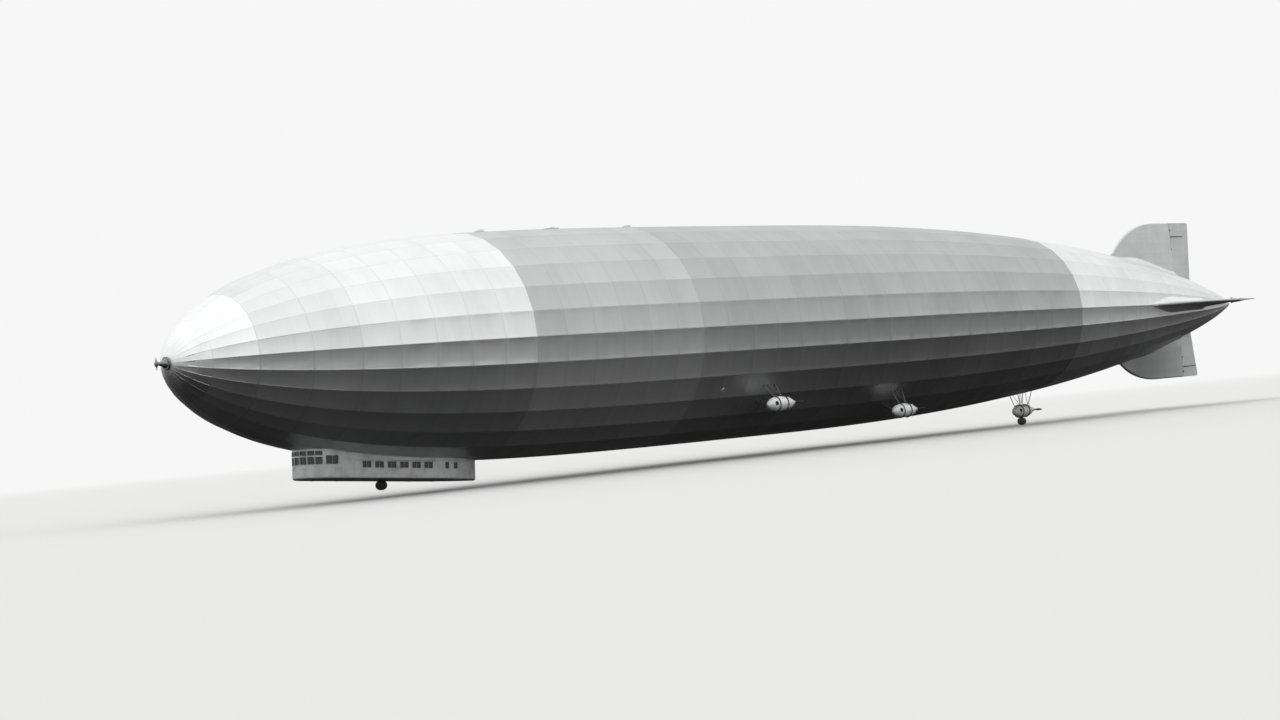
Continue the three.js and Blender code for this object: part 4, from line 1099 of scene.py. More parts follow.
CAR_HATCH_CLEAR = ((1.1, 2.04), (-0.075, 0.025))  # radians from level and ahead, without rivets
CAR_EXHAUST = (-0.15, -0.03)  # ahead, of the two stubs
EXHAUST_PATH = [
    # along the way out from the skin, ahead
    (0.0, 0.0), (0.012, 0.0), (0.019, -0.006), (0.021, -0.022),
]


def car_radius(share):
    """The car's radius, from its pointed front at share 0 to its blunter tail at share 1."""
    front = max(0.0, 1 - share / CAR_WIDEST)
    rear = max(0.0, (share - CAR_WIDEST) / (1.04 - CAR_WIDEST))
    return CAR_RADIUS * (1 - front ** 2.1) ** 0.62 * (1 - rear ** 2.3) ** 0.7


def car_x(share):
    return CAR_LENGTH * (CAR_WIDEST - share)


def car_skin(x):
    return car_radius(CAR_WIDEST - x / CAR_LENGTH)


def on_car(x, turn, proud=0.0):
    """A point of the car's skin at an angle from port up to the top, and the way out from it there."""
    radius = car_skin(x)
    slope = (car_skin(x + 0.002) - car_skin(x - 0.002)) / 0.004
    outward = Vector((-slope, cos(turn), sin(turn))).normalized()
    return Vector((x, radius * cos(turn), radius * sin(turn))) + proud * outward, outward


def window_ring(side, count, grow=1.0, depth=0.0):
    """The oval of the car's window on its skin, made larger and set in by a depth."""
    ahead, up, width, tall = CAR_WINDOW
    ring = []
    for a, b in circle(grow * width / 2, count, tall=grow * tall / 2):
        x, z = ahead + a, up + b
        ring.append((x, side * (sqrt(car_skin(x) ** 2 - z * z) - depth), z))
    return ring


def cut_out(name, body, cutters):
    """A form as a mesh, less closed bodies that don't touch each other."""
    solid = bpy.data.objects.new("solid", body.mesh(name))
    tool = bpy.data.objects.new("tool", cutters.mesh("cutters"))
    for made in (solid, tool):
        bpy.context.scene.collection.objects.link(made)
    less = solid.modifiers.new("less", "BOOLEAN")
    less.operation, less.solver, less.object = "DIFFERENCE", "EXACT", tool
    bpy.context.view_layer.update()
    left = bpy.data.meshes.new_from_object(solid.evaluated_get(bpy.context.evaluated_depsgraph_get()))
    for made in (solid, tool):
        bpy.data.objects.remove(made)
    return left


def rounded_loop(width, height, corner, each=5):
    """A rectangle with rounded corners, as points of across and up about its middle."""
    points = []
    for cx, cy, start in ((1, 1, 0), (-1, 1, 90), (-1, -1, 180), (1, -1, 270)):
        middle, up = cx * (width / 2 - corner), cy * (height / 2 - corner)
        for t in (radians(start + 90 * k / (each - 1)) for k in range(each)):
            points.append((middle + corner * cos(t), up + corner * sin(t)))
    return points


def on_cars(*parts, moves="", ahead=0.0):
    """Each part on every car: name, mesh, slot, finish, sharpness and the endings of replaced nodes."""
    for car, centre in CARS.items():
        body = car + moves if moves else "ship"
        at = Matrix.Translation(Vector(centre) + Vector((ahead, 0, 0)))
        for part, mesh, slot, finish, sharp, *ends in parts:
            replaced = [car + end for end in ends]
            piece(f"{car}_{part}", mesh.copy(), body, slot, finish, *replaced, sharp=sharp, at=at)


car_sheet = sheet_finish(
    "car_sheet", (0.95, 0.955, 0.96), (0.98, 0.98, 0.98), (0.78, 0.78, 0.77), 0.42, 0.15,
    scale=6.0, dent=0.15,
)
# The car's panes are near-black and opaque, with weak reflection: painted shade that stands in for the dim
# inside of the car behind the glass.
pane_painted_shade = sheet_finish(
    "pane_painted_shade", (0.01, 0.011, 0.012), (0.02, 0.022, 0.024), (0.03, 0.03, 0.029), 0.16, 0.0,
    scale=5.0, dent=0.02, Specular_IOR_Level=0.25,
)

# The shell, from its front tip back to the tail's opening and forward again along its lining.
profile = [(car_x(0.0), 0.0008), *((car_x(share), car_radius(share)) for share in CAR_TIP_SHARES)]
for share in sorted({*(i / 44 for i in range(1, 45)), *CAR_LAPS, *(lap + 0.002 for lap in CAR_LAPS)}):
    lapped = sum(share > lap for lap in CAR_LAPS) % 2
    profile.append((car_x(share), car_radius(share) + CAR_SHEET_LAP * lapped))
profile += [(car_x(1.0), CAR_TAIL_HOLE), (car_x(1.0) + 0.004, CAR_TAIL_HOLE)]
profile += [(car_x(i / 22), car_radius(i / 22) - CAR_WALL) for i in range(21, 1, -1)]
profile.append((car_x(0.07), 0.001))
shell = Form().loft([[(x, y, z) for y, z in circle(r, 56, 0.5)] for x, r in profile])
cutters = Form()
ahead, up, width, tall = CAR_WINDOW
for side in (-1, 1):
    cutters.across(circle(width / 2, 36, tall=tall / 2), (side * 0.035, side * 0.13), (ahead, up))
ahead, long_side, wide_side = CAR_HATCH
cutters.standing(rounded_loop(long_side, wide_side, CAR_HATCH_CORNER), (0.035, 0.13), (ahead, 0.0))
for side in (-1, 1):
    for x in CAR_LOUVRES:
        corners = [(x + a, car_skin(x) + b) for a, b in LOUVRE_SLOT]
        turns = [radians(LOUVRE_SLOT_TURN * (i / 4 - 1)) for i in range(9)]
        cutters.loft([[(a, side * r * cos(t), r * sin(t)) for a, r in corners] for t in turns])
shell_mesh = cut_out("car_shell", shell, cutters)

# What is fixed to the shell: window rims, hatch coaming, rivets, louvres, stubs and a towing eye.
trim = Form()
for side in (-1, 1):
    for grow, radius in ((1.0, 0.0026), (1.16, 0.001)):
        trim.tube(window_ring(side, 40, grow), radius, 8, wrap=True)
for grow, lift, radius in ((0.001, 0.001, 0.003), (0.006, 0.0, 0.0012)):
    rim = []
    for a, y in rounded_loop(long_side + 2 * grow, wide_side + 2 * grow, CAR_HATCH_CORNER + grow):
        rim.append((ahead + a, y, sqrt(car_skin(ahead + a) ** 2 - y * y) + lift))
    trim.tube(rim, radius, 8, wrap=True)
places = []
(low, high), (rear, front) = CAR_HATCH_CLEAR
for lap in CAR_LAPS:
    x = car_x(lap) - 0.005
    for turn in ((k + 0.5) * tau / CAR_LAP_RIVETS for k in range(CAR_LAP_RIVETS)):
        by_hatch = low < turn % pi < high and sin(turn) >= 0 and rear < x < front
        if lap < 0.1 or not by_hatch:
            places.append(on_car(x, turn))
for turn in (radians(line) for line in CAR_RIVET_LINES):
    for x in (0.17 - 0.0235 * i for i in range(20)):
        if abs(sin(turn)) >= 0.6 or abs(x - CAR_WINDOW[0]) >= 0.045:
            places.append(on_car(x, turn))
rivet_heads(trim, places, 0.0016)
for side in (-1, 1):
    for x in CAR_LOUVRES:
        slat = []
        for i in range(9):
            turn, swollen = radians(LOUVRE_SLAT_TURN * (i / 4 - 1)), sin(pi * (i + 0.35) / 8.7)
            ring = [on_car(x + a, turn, proud + swell * swollen)[0] for a, proud, swell in LOUVRE_SLAT]
            slat.append([(at.x, side * at.y, at.z) for at in ring])
        trim.loft(slat)
for x in CAR_EXHAUST:
    start, outward = on_car(x, radians(48), -0.006)
    for side in (-1, 1):
        bend = [start + out * outward + Vector((a, 0, 0)) for out, a in EXHAUST_PATH]
        bend = [Vector((p.x, side * p.y, p.z)) for p in bend]
        trim.tube(bend, [0.0055, 0.0055, 0.0053, 0.005], 12)
        trim.tube([bend[1], bend[1] + 0.001 * Vector((0, side * outward.y, outward.z))], 0.009, 14)
trim.tube([(car_x(0.0) + 0.004 + x, 0, z) for x, z in circle(0.006, 16)], 0.0018, 8, wrap=True)
tail, low, high = car_x(1.0) - 0.002, CAR_TAIL_HOLE + 0.001, CAR_TAIL_HOLE + 0.011
trim.turned([(tail, low), (tail - 0.003, low), (tail - 0.004, high), (tail + 0.006, high)], 32, wrap=True)
for y, z in circle(0.028, 10):
    stud = Form().turned([(0, 0.0016), (-0.0012, 0.0014)], 6)
    trim.join(stud, Matrix.Translation((tail - 0.004, y, z)))

pane = Form()
for side in (-1, 1):
    pane.loft([window_ring(side, 36, 1.02, depth) for depth in (0.002, 0.0038)])
# The panes take the painted shade of the car's dim inside.
on_cars(
    ("skin", shell_mesh, "car_metal", car_sheet, 32.0, "_shell"),
    ("trim", trim.mesh("car_trim"), "car_metal", car_sheet, 32.0),
    ("panes", pane.mesh("car_panes"), "window_glass", pane_painted_shade, 32.0),
)

# Engines
# In each car stands a twelve-cylinder engine on two cross bearers: a cast crankcase, two banks of finned
# cylinders, valve covers, an exhaust pipe along each bank and a flywheel towards the propeller.
ENGINE_LENGTH, ENGINE_HEIGHT, ENGINE_AHEAD = 0.18, 0.092, -0.072
CRANKCASE_STATIONS = (0.088, 0.084, 0.06, -0.06, -0.078, -0.084)
CRANKCASE_SECTION = [
    # share of the half width, up
    (-0.55, 0.0), (0.55, 0.0), (0.8, 0.012), (0.95, 0.026), (1.0, 0.034), (0.75, 0.046), (-0.75, 0.046),
    (-1.0, 0.034), (-0.95, 0.026), (-0.8, 0.012),
]
CYLINDERS, CYLINDER_PITCH = 6, 0.0275
CYLINDER_FINS, CYLINDER_FIN_PITCH = 7, 0.0046
CYLINDER_RADIUS, CYLINDER_FIN_RADIUS = 0.0098, 0.0122
BANK_LEAN = 28.0
BEARER_SPOTS = (-0.32, 0.32)
BEARER_SECTION = [
    # ahead, up
    (-0.008, -0.008), (0.008, -0.008), (0.008, -0.005), (0.0025, -0.005), (0.0025, 0.003), (0.008, 0.003),
    (0.008, 0.006), (-0.008, 0.006), (-0.008, 0.003), (-0.0025, 0.003), (-0.0025, -0.005), (-0.008, -0.005),
]

engine_casting = sheet_finish(
    "engine_casting", (0.085, 0.088, 0.092), (0.32, 0.32, 0.32), (0.035, 0.032, 0.028), 0.48, 0.6,
    scale=10.0, dent=0.25,
)
foot = -ENGINE_HEIGHT / 2
engine = Form()
rings = []
for x in CRANKCASE_STATIONS:
    wide = 0.03 if abs(x) > 0.08 else 0.036
    rings.append([(ENGINE_AHEAD + x, wide * y, foot + z) for y, z in CRANKCASE_SECTION])
engine.loft(rings)
barrel = []
for z in (0.002 + CYLINDER_FIN_PITCH * i for i in range(CYLINDER_FINS)):
    barrel += [(z, CYLINDER_RADIUS), (z + 0.0006, CYLINDER_FIN_RADIUS)]
    barrel += [(z + 0.0018, CYLINDER_FIN_RADIUS), (z + 0.0024, CYLINDER_RADIUS)]
cylinder = Form().turned(barrel, 14).moved(Matrix.Rotation(-pi / 2, 4, "Y"))
spots = [ENGINE_AHEAD + 0.07 - CYLINDER_PITCH * k for k in range(CYLINDERS)]
for bank in (-1, 1):
    lean = Matrix.Rotation(-bank * radians(BANK_LEAN), 4, "X")
    base = Matrix.Translation((0, bank * 0.012, foot + 0.034)) @ lean
    for x in spots:
        engine.join(cylinder, base @ Matrix.Translation((x, 0, 0)))
    cover = Form().block((ENGINE_AHEAD - 0.08, -0.011, 0.034), (ENGINE_AHEAD + 0.08, 0.011, 0.044), 0.003)
    engine.join(cover, base)
    pipe = [(ENGINE_AHEAD + 0.074 - 0.0155 * i, bank * 0.0345, foot + 0.06) for i in range(11)]
    engine.tube(pipe, [0.0045 + 0.00025 * i for i in range(11)], 10)
    for x in spots:
        engine.tube([(x, bank * 0.0215, foot + 0.06), (x, bank * 0.034, foot + 0.06)], 0.0035, 8)
flywheel = [(-0.084, 0.02), (-0.084, 0.032), (-0.0885, 0.032), (-0.0885, 0.02)]
engine.turned([(ENGINE_AHEAD + x, r) for x, r in flywheel], 32)
for spot in BEARER_SPOTS:
    x = ENGINE_AHEAD + spot * ENGINE_LENGTH
    reach = sqrt((car_skin(x) - CAR_WALL - 0.0006) ** 2 - (foot - 0.008) ** 2)
    engine.across(BEARER_SECTION, (-reach, reach), (x, foot))
on_cars(("motor", engine.mesh("engine"), "engine_metal", engine_casting, 35.0, "_engine"))

# Car struts
# Each car hangs in two flanged hoops on streamlined struts of steel tube, which spread to feet on the
# hull, all painted grey. A ladder leads up from the hatch into the hull.
HOOP_PLACES = (0.056, -0.11)
HOOP_HALF = 0.006
HOOP_WEB = 0.0022
HOOP_PROUD = 0.008
HOOP_RAIL = 0.005
STRUT_RADIUS = 0.008
STRUT_SLIM = 0.62  # thickness across the ship, as a share of the thickness along it
STRUT_SIZES = ((0.0, 0.55), (0.05, 0.62), (0.14, 1.0), (0.86, 1.0), (0.95, 0.7), (1.0, 0.62))
STRUT_FOOT = radians(42)
STRUT_RISE = 0.42
STRUT_SPREAD = 0.17
STRUT_SPLAY = 0.06
BRACE_SPLAY = 0.04
STRUT_SHOE = [(-0.006, 0.019), (0.0018, 0.019), (0.003, 0.0165), (0.0042, 0.01), (0.008, 0.0085)]
LADDER_HALF = 0.024
LADDER_STEP = 0.03
LADDER_SIDE = 0.026  # how far the foot stands from the car's middle plane

strut_paint = sheet_finish(
    "strut_paint", (0.13, 0.131, 0.133), (0.3, 0.3, 0.3), (0.09, 0.09, 0.087), 0.45, 0.4, scale=6.0
)


def last_true(test, low, high, steps):
    """The highest value at which a test still holds, found by halving."""
    for _ in range(steps):
        middle = (low + high) / 2
        low, high = (middle, high) if test(middle) else (low, middle)
    return low


def to_hull(centre, start, end):
    """The point between start and end, in a car's own place, at which the hull's skin is met."""
    def outside(share):
        at = Vector(centre) + start.lerp(end, share)
        return hypot(at.y, at.z) > hull_radius(NOSE_X - at.x) * 0.995
    return start.lerp(end, last_true(outside, 0.0, 1.0, 30))


def streamlined(form, start, end, radius):
    """A strut of flattened tube, its long side along the ship, tapering to its ends."""
    ahead = (end - start).normalized()
    fore = (Vector((1, 0, 0)) - ahead * ahead.x).normalized()
    across = ahead.cross(fore)
    rings = []
    for share, size in STRUT_SIZES:
        at, thick = start.lerp(end, share), radius * size
        rings.append([at + thick * (a * fore + STRUT_SLIM * b * across) for a, b in circle(1.0, 14)])
    form.loft(rings)


for name, centre in CARS.items():
    inward = atan2(-centre[2], -centre[1])
    across = inward + pi / 2
    outer = CAR_RADIUS + HOOP_PROUD
    cradle = Form()
    for x in HOOP_PLACES:
        front, rear = (car_skin(x + side * HOOP_HALF) + 0.0008 for side in (1, -1))
        low = car_skin(x) + 0.0035
        cradle.turned([
            (x + HOOP_HALF, front), (x + HOOP_HALF, front + 0.0025), (x + HOOP_WEB, low),
            (x + HOOP_WEB, outer - 0.003), (x + HOOP_HALF, outer - 0.002), (x + HOOP_HALF, outer),
            (x - HOOP_HALF, outer), (x - HOOP_HALF, outer - 0.002), (x - HOOP_WEB, outer - 0.003),
            (x - HOOP_WEB, low), (x - HOOP_HALF, rear + 0.0025), (x - HOOP_HALF, rear),
        ], 56, wrap=True)

    def on_hoop(x, side):
        angle = inward + side * STRUT_FOOT
        return Vector((x, outer * cos(angle), outer * sin(angle)))

    def in_hull(x, side):
        y = STRUT_RISE * cos(inward) + side * STRUT_SPREAD * cos(across)
        z = STRUT_RISE * sin(inward) + side * STRUT_SPREAD * sin(across)
        return Vector((x, y, z))

    front, rear = HOOP_PLACES
    lower = -1 if cos(inward) > 0 else 1
    cradle.tube([on_hoop(front, lower), on_hoop(rear, lower)], HOOP_RAIL, 12)
    for side in (-1, 1):
        for start, end, radius in (
            (on_hoop(front, side), in_hull(front + STRUT_SPLAY, side), STRUT_RADIUS),
            (on_hoop(rear, side), in_hull(rear - STRUT_SPLAY, side), STRUT_RADIUS),
            (on_hoop(rear, side), in_hull(front + BRACE_SPLAY, side), 0.7 * STRUT_RADIUS),
        ):
            met, ahead = to_hull(centre, start, end), (end - start).normalized()
            streamlined(cradle, start - 0.004 * ahead, met + 0.006 * ahead, radius)
            place = Vector(centre) + met
            outward = Vector((0, place.y, place.z)).normalized()
            cradle.join(Form().turned(STRUT_SHOE, 20), facing(outward, met - 0.002 * outward))
        for x in HOOP_PLACES:
            clamp = Form().block((-0.009, -0.007, -0.003), (0.009, 0.007, 0.007), 0.002)
            turn = Matrix.Rotation(inward + side * STRUT_FOOT - pi / 2, 4, "X")
            cradle.join(clamp, Matrix.Translation(on_hoop(x, side)) @ turn)
    x, aside = CAR_HATCH[0], copysign(LADDER_SIDE, -centre[1]) if centre[1] else 0.0
    foot = Vector((x, aside, car_skin(x) - 0.002))
    met = to_hull(centre, foot, in_hull(x, 0))
    ahead, off = (met - foot).normalized(), Vector((LADDER_HALF, 0, 0))
    for side in (-1, 1):
        cradle.tube([foot + side * off, met + side * off + 0.01 * ahead], 0.0028, 8)
    for k in range(int((met - foot).length / LADDER_STEP)):
        at = foot + ahead * (LADDER_STEP * (k + 0.5))
        cradle.tube([at - off, at + off], 0.0018, 6)
    cradle.moved(Matrix.Translation(centre))
    piece(name + "_cradle", cradle, "ship", "fitting_metal", strut_paint, name + "_struts", sharp=32.0)

# Propellers
# Two-bladed pushers of laminated wood, carved to a fine twist and varnished, with a sheet-metal sheath
# along the outer leading edge. The hub is clamped between bolted plates on a steel shaft.
PROPELLER_X = CAR_LENGTH * (CAR_WIDEST - 1) - 0.03
BLADE_STATIONS = [
    # radius, chord, thickness, pitch in degrees
    (0.01, 0.024, 0.02, 62), (0.02, 0.025, 0.019, 58), (0.036, 0.03, 0.015, 50),
    (0.052, 0.035, 0.0122, 42), (0.07, 0.038, 0.0098, 36), (0.09, 0.0375, 0.0084, 31.5),
    (0.11, 0.036, 0.0072, 27.5), (0.128, 0.0335, 0.0062, 24.2), (0.144, 0.03, 0.0053, 21.5),
    (0.156, 0.025, 0.0044, 19.7), (0.164, 0.0185, 0.0034, 18.7), (0.1685, 0.011, 0.0024, 18.2),
    (0.17, 0.004, 0.0012, 18.0),
]
BLADE_SECTION = [
    # share of the chord from the leading edge, shares of the thickness above and below
    (0.0, 0.0, 0.0), (0.02, 0.2, 0.12), (0.08, 0.36, 0.24), (0.2, 0.49, 0.36), (0.35, 0.5, 0.42),
    (0.55, 0.42, 0.38), (0.75, 0.27, 0.26), (0.92, 0.12, 0.12), (1.0, 0.03, 0.03),
]
SHEATH_LAST, SHEATH_THICK = 0.21, 0.0004  # how far the sheath laps back over the chord
HUB_PROFILE = [
    (-0.02, 0.004), (-0.0196, 0.008), (-0.017, 0.0115), (-0.0135, 0.0145), (-0.013, 0.019),
    (-0.012, 0.02), (-0.0085, 0.02), (-0.008, 0.018), (0.009, 0.018), (0.0095, 0.02),
    (0.013, 0.02), (0.014, 0.019), (0.0142, 0.01),
]
HUB_NUTS, HUB_NUT_CIRCLE = 8, 0.0163
HUB_NUT = (0.0024, 0.0022, 0.0006, 0.0006)  # radius, thickness, chamfer, rise
SHAFT_RADIUS = 0.009
SHAFT_END = ENGINE_AHEAD - ENGINE_LENGTH / 2 - SEAT - PROPELLER_X

# Laminations in long bands along the blade, in darker and lighter brown, under a dulled varnish.
blade_wood, n, shader = finish_of("blade_wood", Metallic=0.0, Coat_Weight=0.35, Coat_Roughness=0.25)
where = n.marks("blade")
waves = {"Vector": where, "Scale": 42.0, "Distortion": 2.2, "Detail": 3.0, "Detail Scale": 1.4}
bands = n.put("ShaderNodeTexWave", "Fac", waves, wave_type="BANDS", bands_direction="X")
grain = n.noise(n.scaled(where, (260.0, 18.0, 1.0)), 1.0, 4, 0.65)
wood = n.mix(bands, (0.085, 0.062, 0.045), (0.2, 0.15, 0.108))
n.feed(shader, "Base Color", n.mix(n.mapped(grain, 0.35, 0.7), wood, (0.06, 0.044, 0.032)))
n.feed(shader, "Roughness", n.mapped(grain, 0.3, 0.7, 0.34, 0.5))
n.bump(shader, grain, 0.12, 0.001)


def blade_ring(radius, chord, thick, pitch, grow=0.0, last=1.0):
    """The blade's section at a radius, as far back as a share of its chord, and made thicker."""
    turn = radians(pitch)
    upper = [(0.5 - s, a) for s, a, _ in BLADE_SECTION if s <= last]
    lower = [(0.5 - s, -b) for s, _, b in BLADE_SECTION if s <= last]
    ring = []
    for s, t in upper + lower[:0:-1]:
        along, deep = s * chord + (grow if s > 0.45 else 0.0), t * thick + copysign(grow, t)
        x = along * sin(turn) + deep * cos(turn)
        z = along * cos(turn) - deep * sin(turn)
        ring.append((x, radius, z))
    return ring


half_turn = Matrix.Rotation(pi, 4, "X")
blade = Form().loft([blade_ring(*station) for station in BLADE_STATIONS])
blade_mesh = Form().join(blade).join(blade, half_turn).mesh("blades")
layer = blade_mesh.uv_layers.new(name="blade")
for loop in blade_mesh.loops:
    layer.data[loop.index].uv = blade_mesh.vertices[loop.vertex_index].co.xy
sheath = Form().loft([blade_ring(*station, SHEATH_THICK, SHEATH_LAST) for station in BLADE_STATIONS[6:-1]])
outward = Vector((1, 0, 0.2)).normalized()
tacks = [(Vector(blade_ring(*station)[3]), outward) for station in BLADE_STATIONS[6:-2]]
rivet_heads(sheath, tacks, 0.0009)
hub = Form().join(sheath).join(sheath, half_turn).turned(HUB_PROFILE, 40)
for y, z in circle(HUB_NUT_CIRCLE, HUB_NUTS, 0.5):
    for x, way in ((0.0138, 1), (-0.0128, -1)):
        hub.join(bolt_head(*HUB_NUT), facing((way, 0, 0), (x, y, z)))
hub.tube([(0.013, 0, 0), (SHAFT_END, 0, 0)], SHAFT_RADIUS, 24)
on_cars(
    ("blades", blade_mesh, "propeller_wood", blade_wood, 40.0, "_propeller"),
    ("hub", hub.mesh("hub"), "fitting_metal", hinge_steel, 32.0),
    moves="_propeller", ahead=PROPELLER_X,
)

# Gondola floor
# The gondola is built up on a flat pan of sheet metal with rolled edges. It hangs tilted under the bow, so
# that it follows the hull's rise. A keel strip and cross strips stiffen the pan, and the deck is boarded.
GONDOLA_PLACE = Matrix.Translation((9.08, 0, -1.45)) @ Matrix.Rotation(radians(-4.9), 4, "Y")
GONDOLA_HALF = 0.3
GONDOLA_BOW = 0.35
GONDOLA_STERN_START = 1.97
GONDOLA_LENGTH = 2.85
FLOOR_BEVEL = 0.024
FLOOR_RIM = 0.002
FLOOR_TURNS = (0.0, 12.0, 25.0, 40.0, 55.0, 70.0, 82.0, 90.0)  # degrees round the rolled edge
PAN_STRIPS = [0.42, 0.8, 1.55, 1.96, 2.3]  # behind the gondola's front
PAN_KEELS = (-0.1, 0.0, 0.1)
DECK_BOARDS, DECK_PITCH = 11, 0.046
UP = Vector((0, 0, 1))


def plan_side(margin=0.0, step=0.035):
    """One side of the gondola's plan from bow to stern, drawn in by a margin."""
    half, bow = GONDOLA_HALF - margin, GONDOLA_BOW - margin
    start, end = -GONDOLA_STERN_START, -GONDOLA_LENGTH + 2 * margin
    arc = [pi / 2 * i / 24 for i in range(25)]
    points = [(-GONDOLA_BOW + bow * cos(t), half * sin(t)) for t in arc]
    run = GONDOLA_STERN_START - GONDOLA_BOW
    count = round(run / step)
    points += [(-GONDOLA_BOW - run * i / count, half) for i in range(1, count + 1)]
    return points + bezier([(start, half), (start - 0.4, half), (end + 0.12, 0.55 * half), (end, 0.0)], 30)


def plan_loop(margin=0.0, step=0.035):
    port = plan_side(margin, step)
    return port + [(x, -y) for x, y in reversed(port[1:-1])]


def side_half(x, margin=0.0):
    """Half the gondola's width at a place along it."""
    xs, halves = zip(*reversed(plan_side(margin)))
    return float(np.interp(x, xs, halves))


cabin_paint = sheet_finish(
    "cabin_paint", (0.6, 0.605, 0.61), (0.74, 0.74, 0.74), (0.36, 0.36, 0.35), 0.4, 0.55,
    scale=3.0, dent=0.15,
)
pan = Form()
rings = [[(x, y, 0.0) for x, y in plan_loop()]]
for t in (radians(turn) for turn in FLOOR_TURNS):
    inset, deep = FLOOR_BEVEL * (1 - cos(t)), FLOOR_RIM + FLOOR_BEVEL * sin(t)
    rings.append([(x, y, -deep) for x, y in plan_loop(inset)])
pan.loft(rings)
low = -FLOOR_BEVEL - FLOOR_RIM
places = []
for behind in PAN_STRIPS:
    half = side_half(-behind)
    reach = half - 0.03
    pan.block((-behind - 0.012, -reach, low - 0.003), (-behind + 0.012, reach, low + 0.001), 0.0012)
    for y in ((k - 8) / 8 * (half - 0.045) for k in range(17)):
        places += [((-behind + off, y, low - 0.003), -UP) for off in (-0.008, 0.008)]
for y in PAN_KEELS:
    pan.block((-2.3, y - 0.008, low - 0.0045), (-0.2, y + 0.008, low + 0.001), 0.0015)
for x, y in plan_loop(0.01, 0.03)[:-1]:
    places.append(((x, y, -0.021), Vector((0, copysign(0.5, y or 1), -1)).normalized()))
rivet_heads(pan, places, 0.0016)
for y in ((k - DECK_BOARDS // 2) * DECK_PITCH for k in range(DECK_BOARDS)):
    pan.block((-1.95, y - 0.0215, -0.0005), (-0.44, y + 0.0215, 0.0022), 0.0008)
piece("gondola_pan", pan, "ship", "cabin_paint", cabin_paint, "gondola_floor", sharp=32.0, at=GONDOLA_PLACE)

# Gondola walls
# Painted sheet on a light frame, one skin from the pan up to the hull: a rounded glazed front, straight
# sides with a row of saloon windows and a tapering stern. Beading and rivets follow the frames.
GONDOLA_WALL = 0.01
WALL_REACH = 0.012  # how far the wall runs on inside the hull's skin
WALL_FOOT = 0.0004
WALL_SHARES = (0.0004, 0.25, 0.5, 0.75, 1.0)
CONTROL_BEARINGS = (-49.5, -33.0, -16.5, 0.0, 16.5, 33.0, 49.5)
CONTROL_WIDTH = 0.084
CONTROL_ROWS = ((0.151, 0.235), (0.259, 0.307))  # sill, head
QUARTER_WINDOW = (0.221, 0.39, 0.151, 0.253)  # front, rear, sill, head
SALOON_SILL, SALOON_HEAD = 0.112, 0.188
SALOON_WIDTH, SALOON_PITCH, SALOON_FIRST, SALOON_COUNT = 0.14, 0.196, 0.83, 6
STERN_WIDTH, STERN_MIDDLES = 0.07, (2.12, 2.28)
WINDOW_CORNER = 0.011
DOORWAY = (0.495, 0.575, 0.001, 0.188)  # front, rear, sill, head
DOORWAY_CORNER = 0.006


def wall_top(x, y, reach=WALL_REACH):
    """The height at which the wall has run on a little inside the hull's skin."""
    def outside(z):
        at = GONDOLA_PLACE @ Vector((x, y, z))
        step = tau / HULL_SIDES
        turn = (atan2(at.z, at.y) - pi / 2) % step
        facet = cos(step / 2) / cos(turn - step / 2)
        return hypot(at.y, at.z) > hull_radius(NOSE_X - at.x) * facet - reach
    return last_true(outside, 0.0, 0.7, 26)


def front_outward(x, y):
    """The way out from the rounded front at a point of the plan."""
    return Vector(((x + GONDOLA_BOW) / GONDOLA_BOW ** 2, y / GONDOLA_HALF ** 2, 0)).normalized()


def on_front(bearing, across):
    """The point of the rounded front, at a place across a window that faces a bearing, and the way out."""
    t = radians(bearing)
    dx, dy, ox, oy = cos(t), sin(t), -across * sin(t), across * cos(t)
    a = (dx / GONDOLA_BOW) ** 2 + (dy / GONDOLA_HALF) ** 2
    b = 2 * (dx * ox / GONDOLA_BOW ** 2 + dy * oy / GONDOLA_HALF ** 2)
    c = (ox / GONDOLA_BOW) ** 2 + (oy / GONDOLA_HALF) ** 2 - 1
    far = (-b + sqrt(b * b - 4 * a * c)) / (2 * a)
    x, y = far * dx + ox - GONDOLA_BOW, far * dy + oy
    return Vector((x, y, 0)), front_outward(x, y)


def on_side(x, side):
    """The point of a straight or tapering side at a place along it, and the way out."""
    slope = (side_half(x + 0.004) - side_half(x - 0.004)) / 0.008
    return Vector((x, side * side_half(x), 0)), Vector((-slope, side, 0)).normalized()


def side_windows():
    """Each window of the sides as its middle, width, sill and head."""
    front, rear, sill, head = QUARTER_WINDOW
    saloon = [-SALOON_FIRST - i * SALOON_PITCH for i in range(SALOON_COUNT)]
    windows = [(-(front + rear) / 2, rear - front, sill, head)]
    windows += [(middle, SALOON_WIDTH, SALOON_SILL, SALOON_HEAD) for middle in saloon]
    return windows + [(-behind, STERN_WIDTH, SALOON_SILL, SALOON_HEAD) for behind in STERN_MIDDLES]


outside, inside = plan_loop(0.0, 0.05), plan_loop(GONDOLA_WALL, 0.05)
tops = [wall_top(x, y) for x, y in outside]
rings = []
for loop, shares in ((outside, WALL_SHARES), (inside, WALL_SHARES[::-1])):
    for share in shares:
        rings.append([(x, y, max(WALL_FOOT, share * top)) for (x, y), top in zip(loop, tops)])
cutters = Form()
for bearing in CONTROL_BEARINGS:
    turn = Matrix.Translation((-GONDOLA_BOW, 0, 0)) @ Matrix.Rotation(radians(bearing), 4, "Z")
    for sill, head in CONTROL_ROWS:
        loop = rounded_loop(CONTROL_WIDTH, head - sill, WINDOW_CORNER)
        hole = Form().loft([[(x, a, (sill + head) / 2 + b) for a, b in loop] for x in (0.24, 0.42)])
        cutters.join(hole, turn)
for middle, width, sill, head in side_windows():
    loop, near = rounded_loop(width, head - sill, WINDOW_CORNER), side_half(middle) - 0.06
    for side in (-1, 1):
        cutters.across(loop, (side * near, side * (near + 0.12)), (middle, (sill + head) / 2))
front, rear, sill, head = DOORWAY
loop = rounded_loop(rear - front, head - sill, DOORWAY_CORNER)
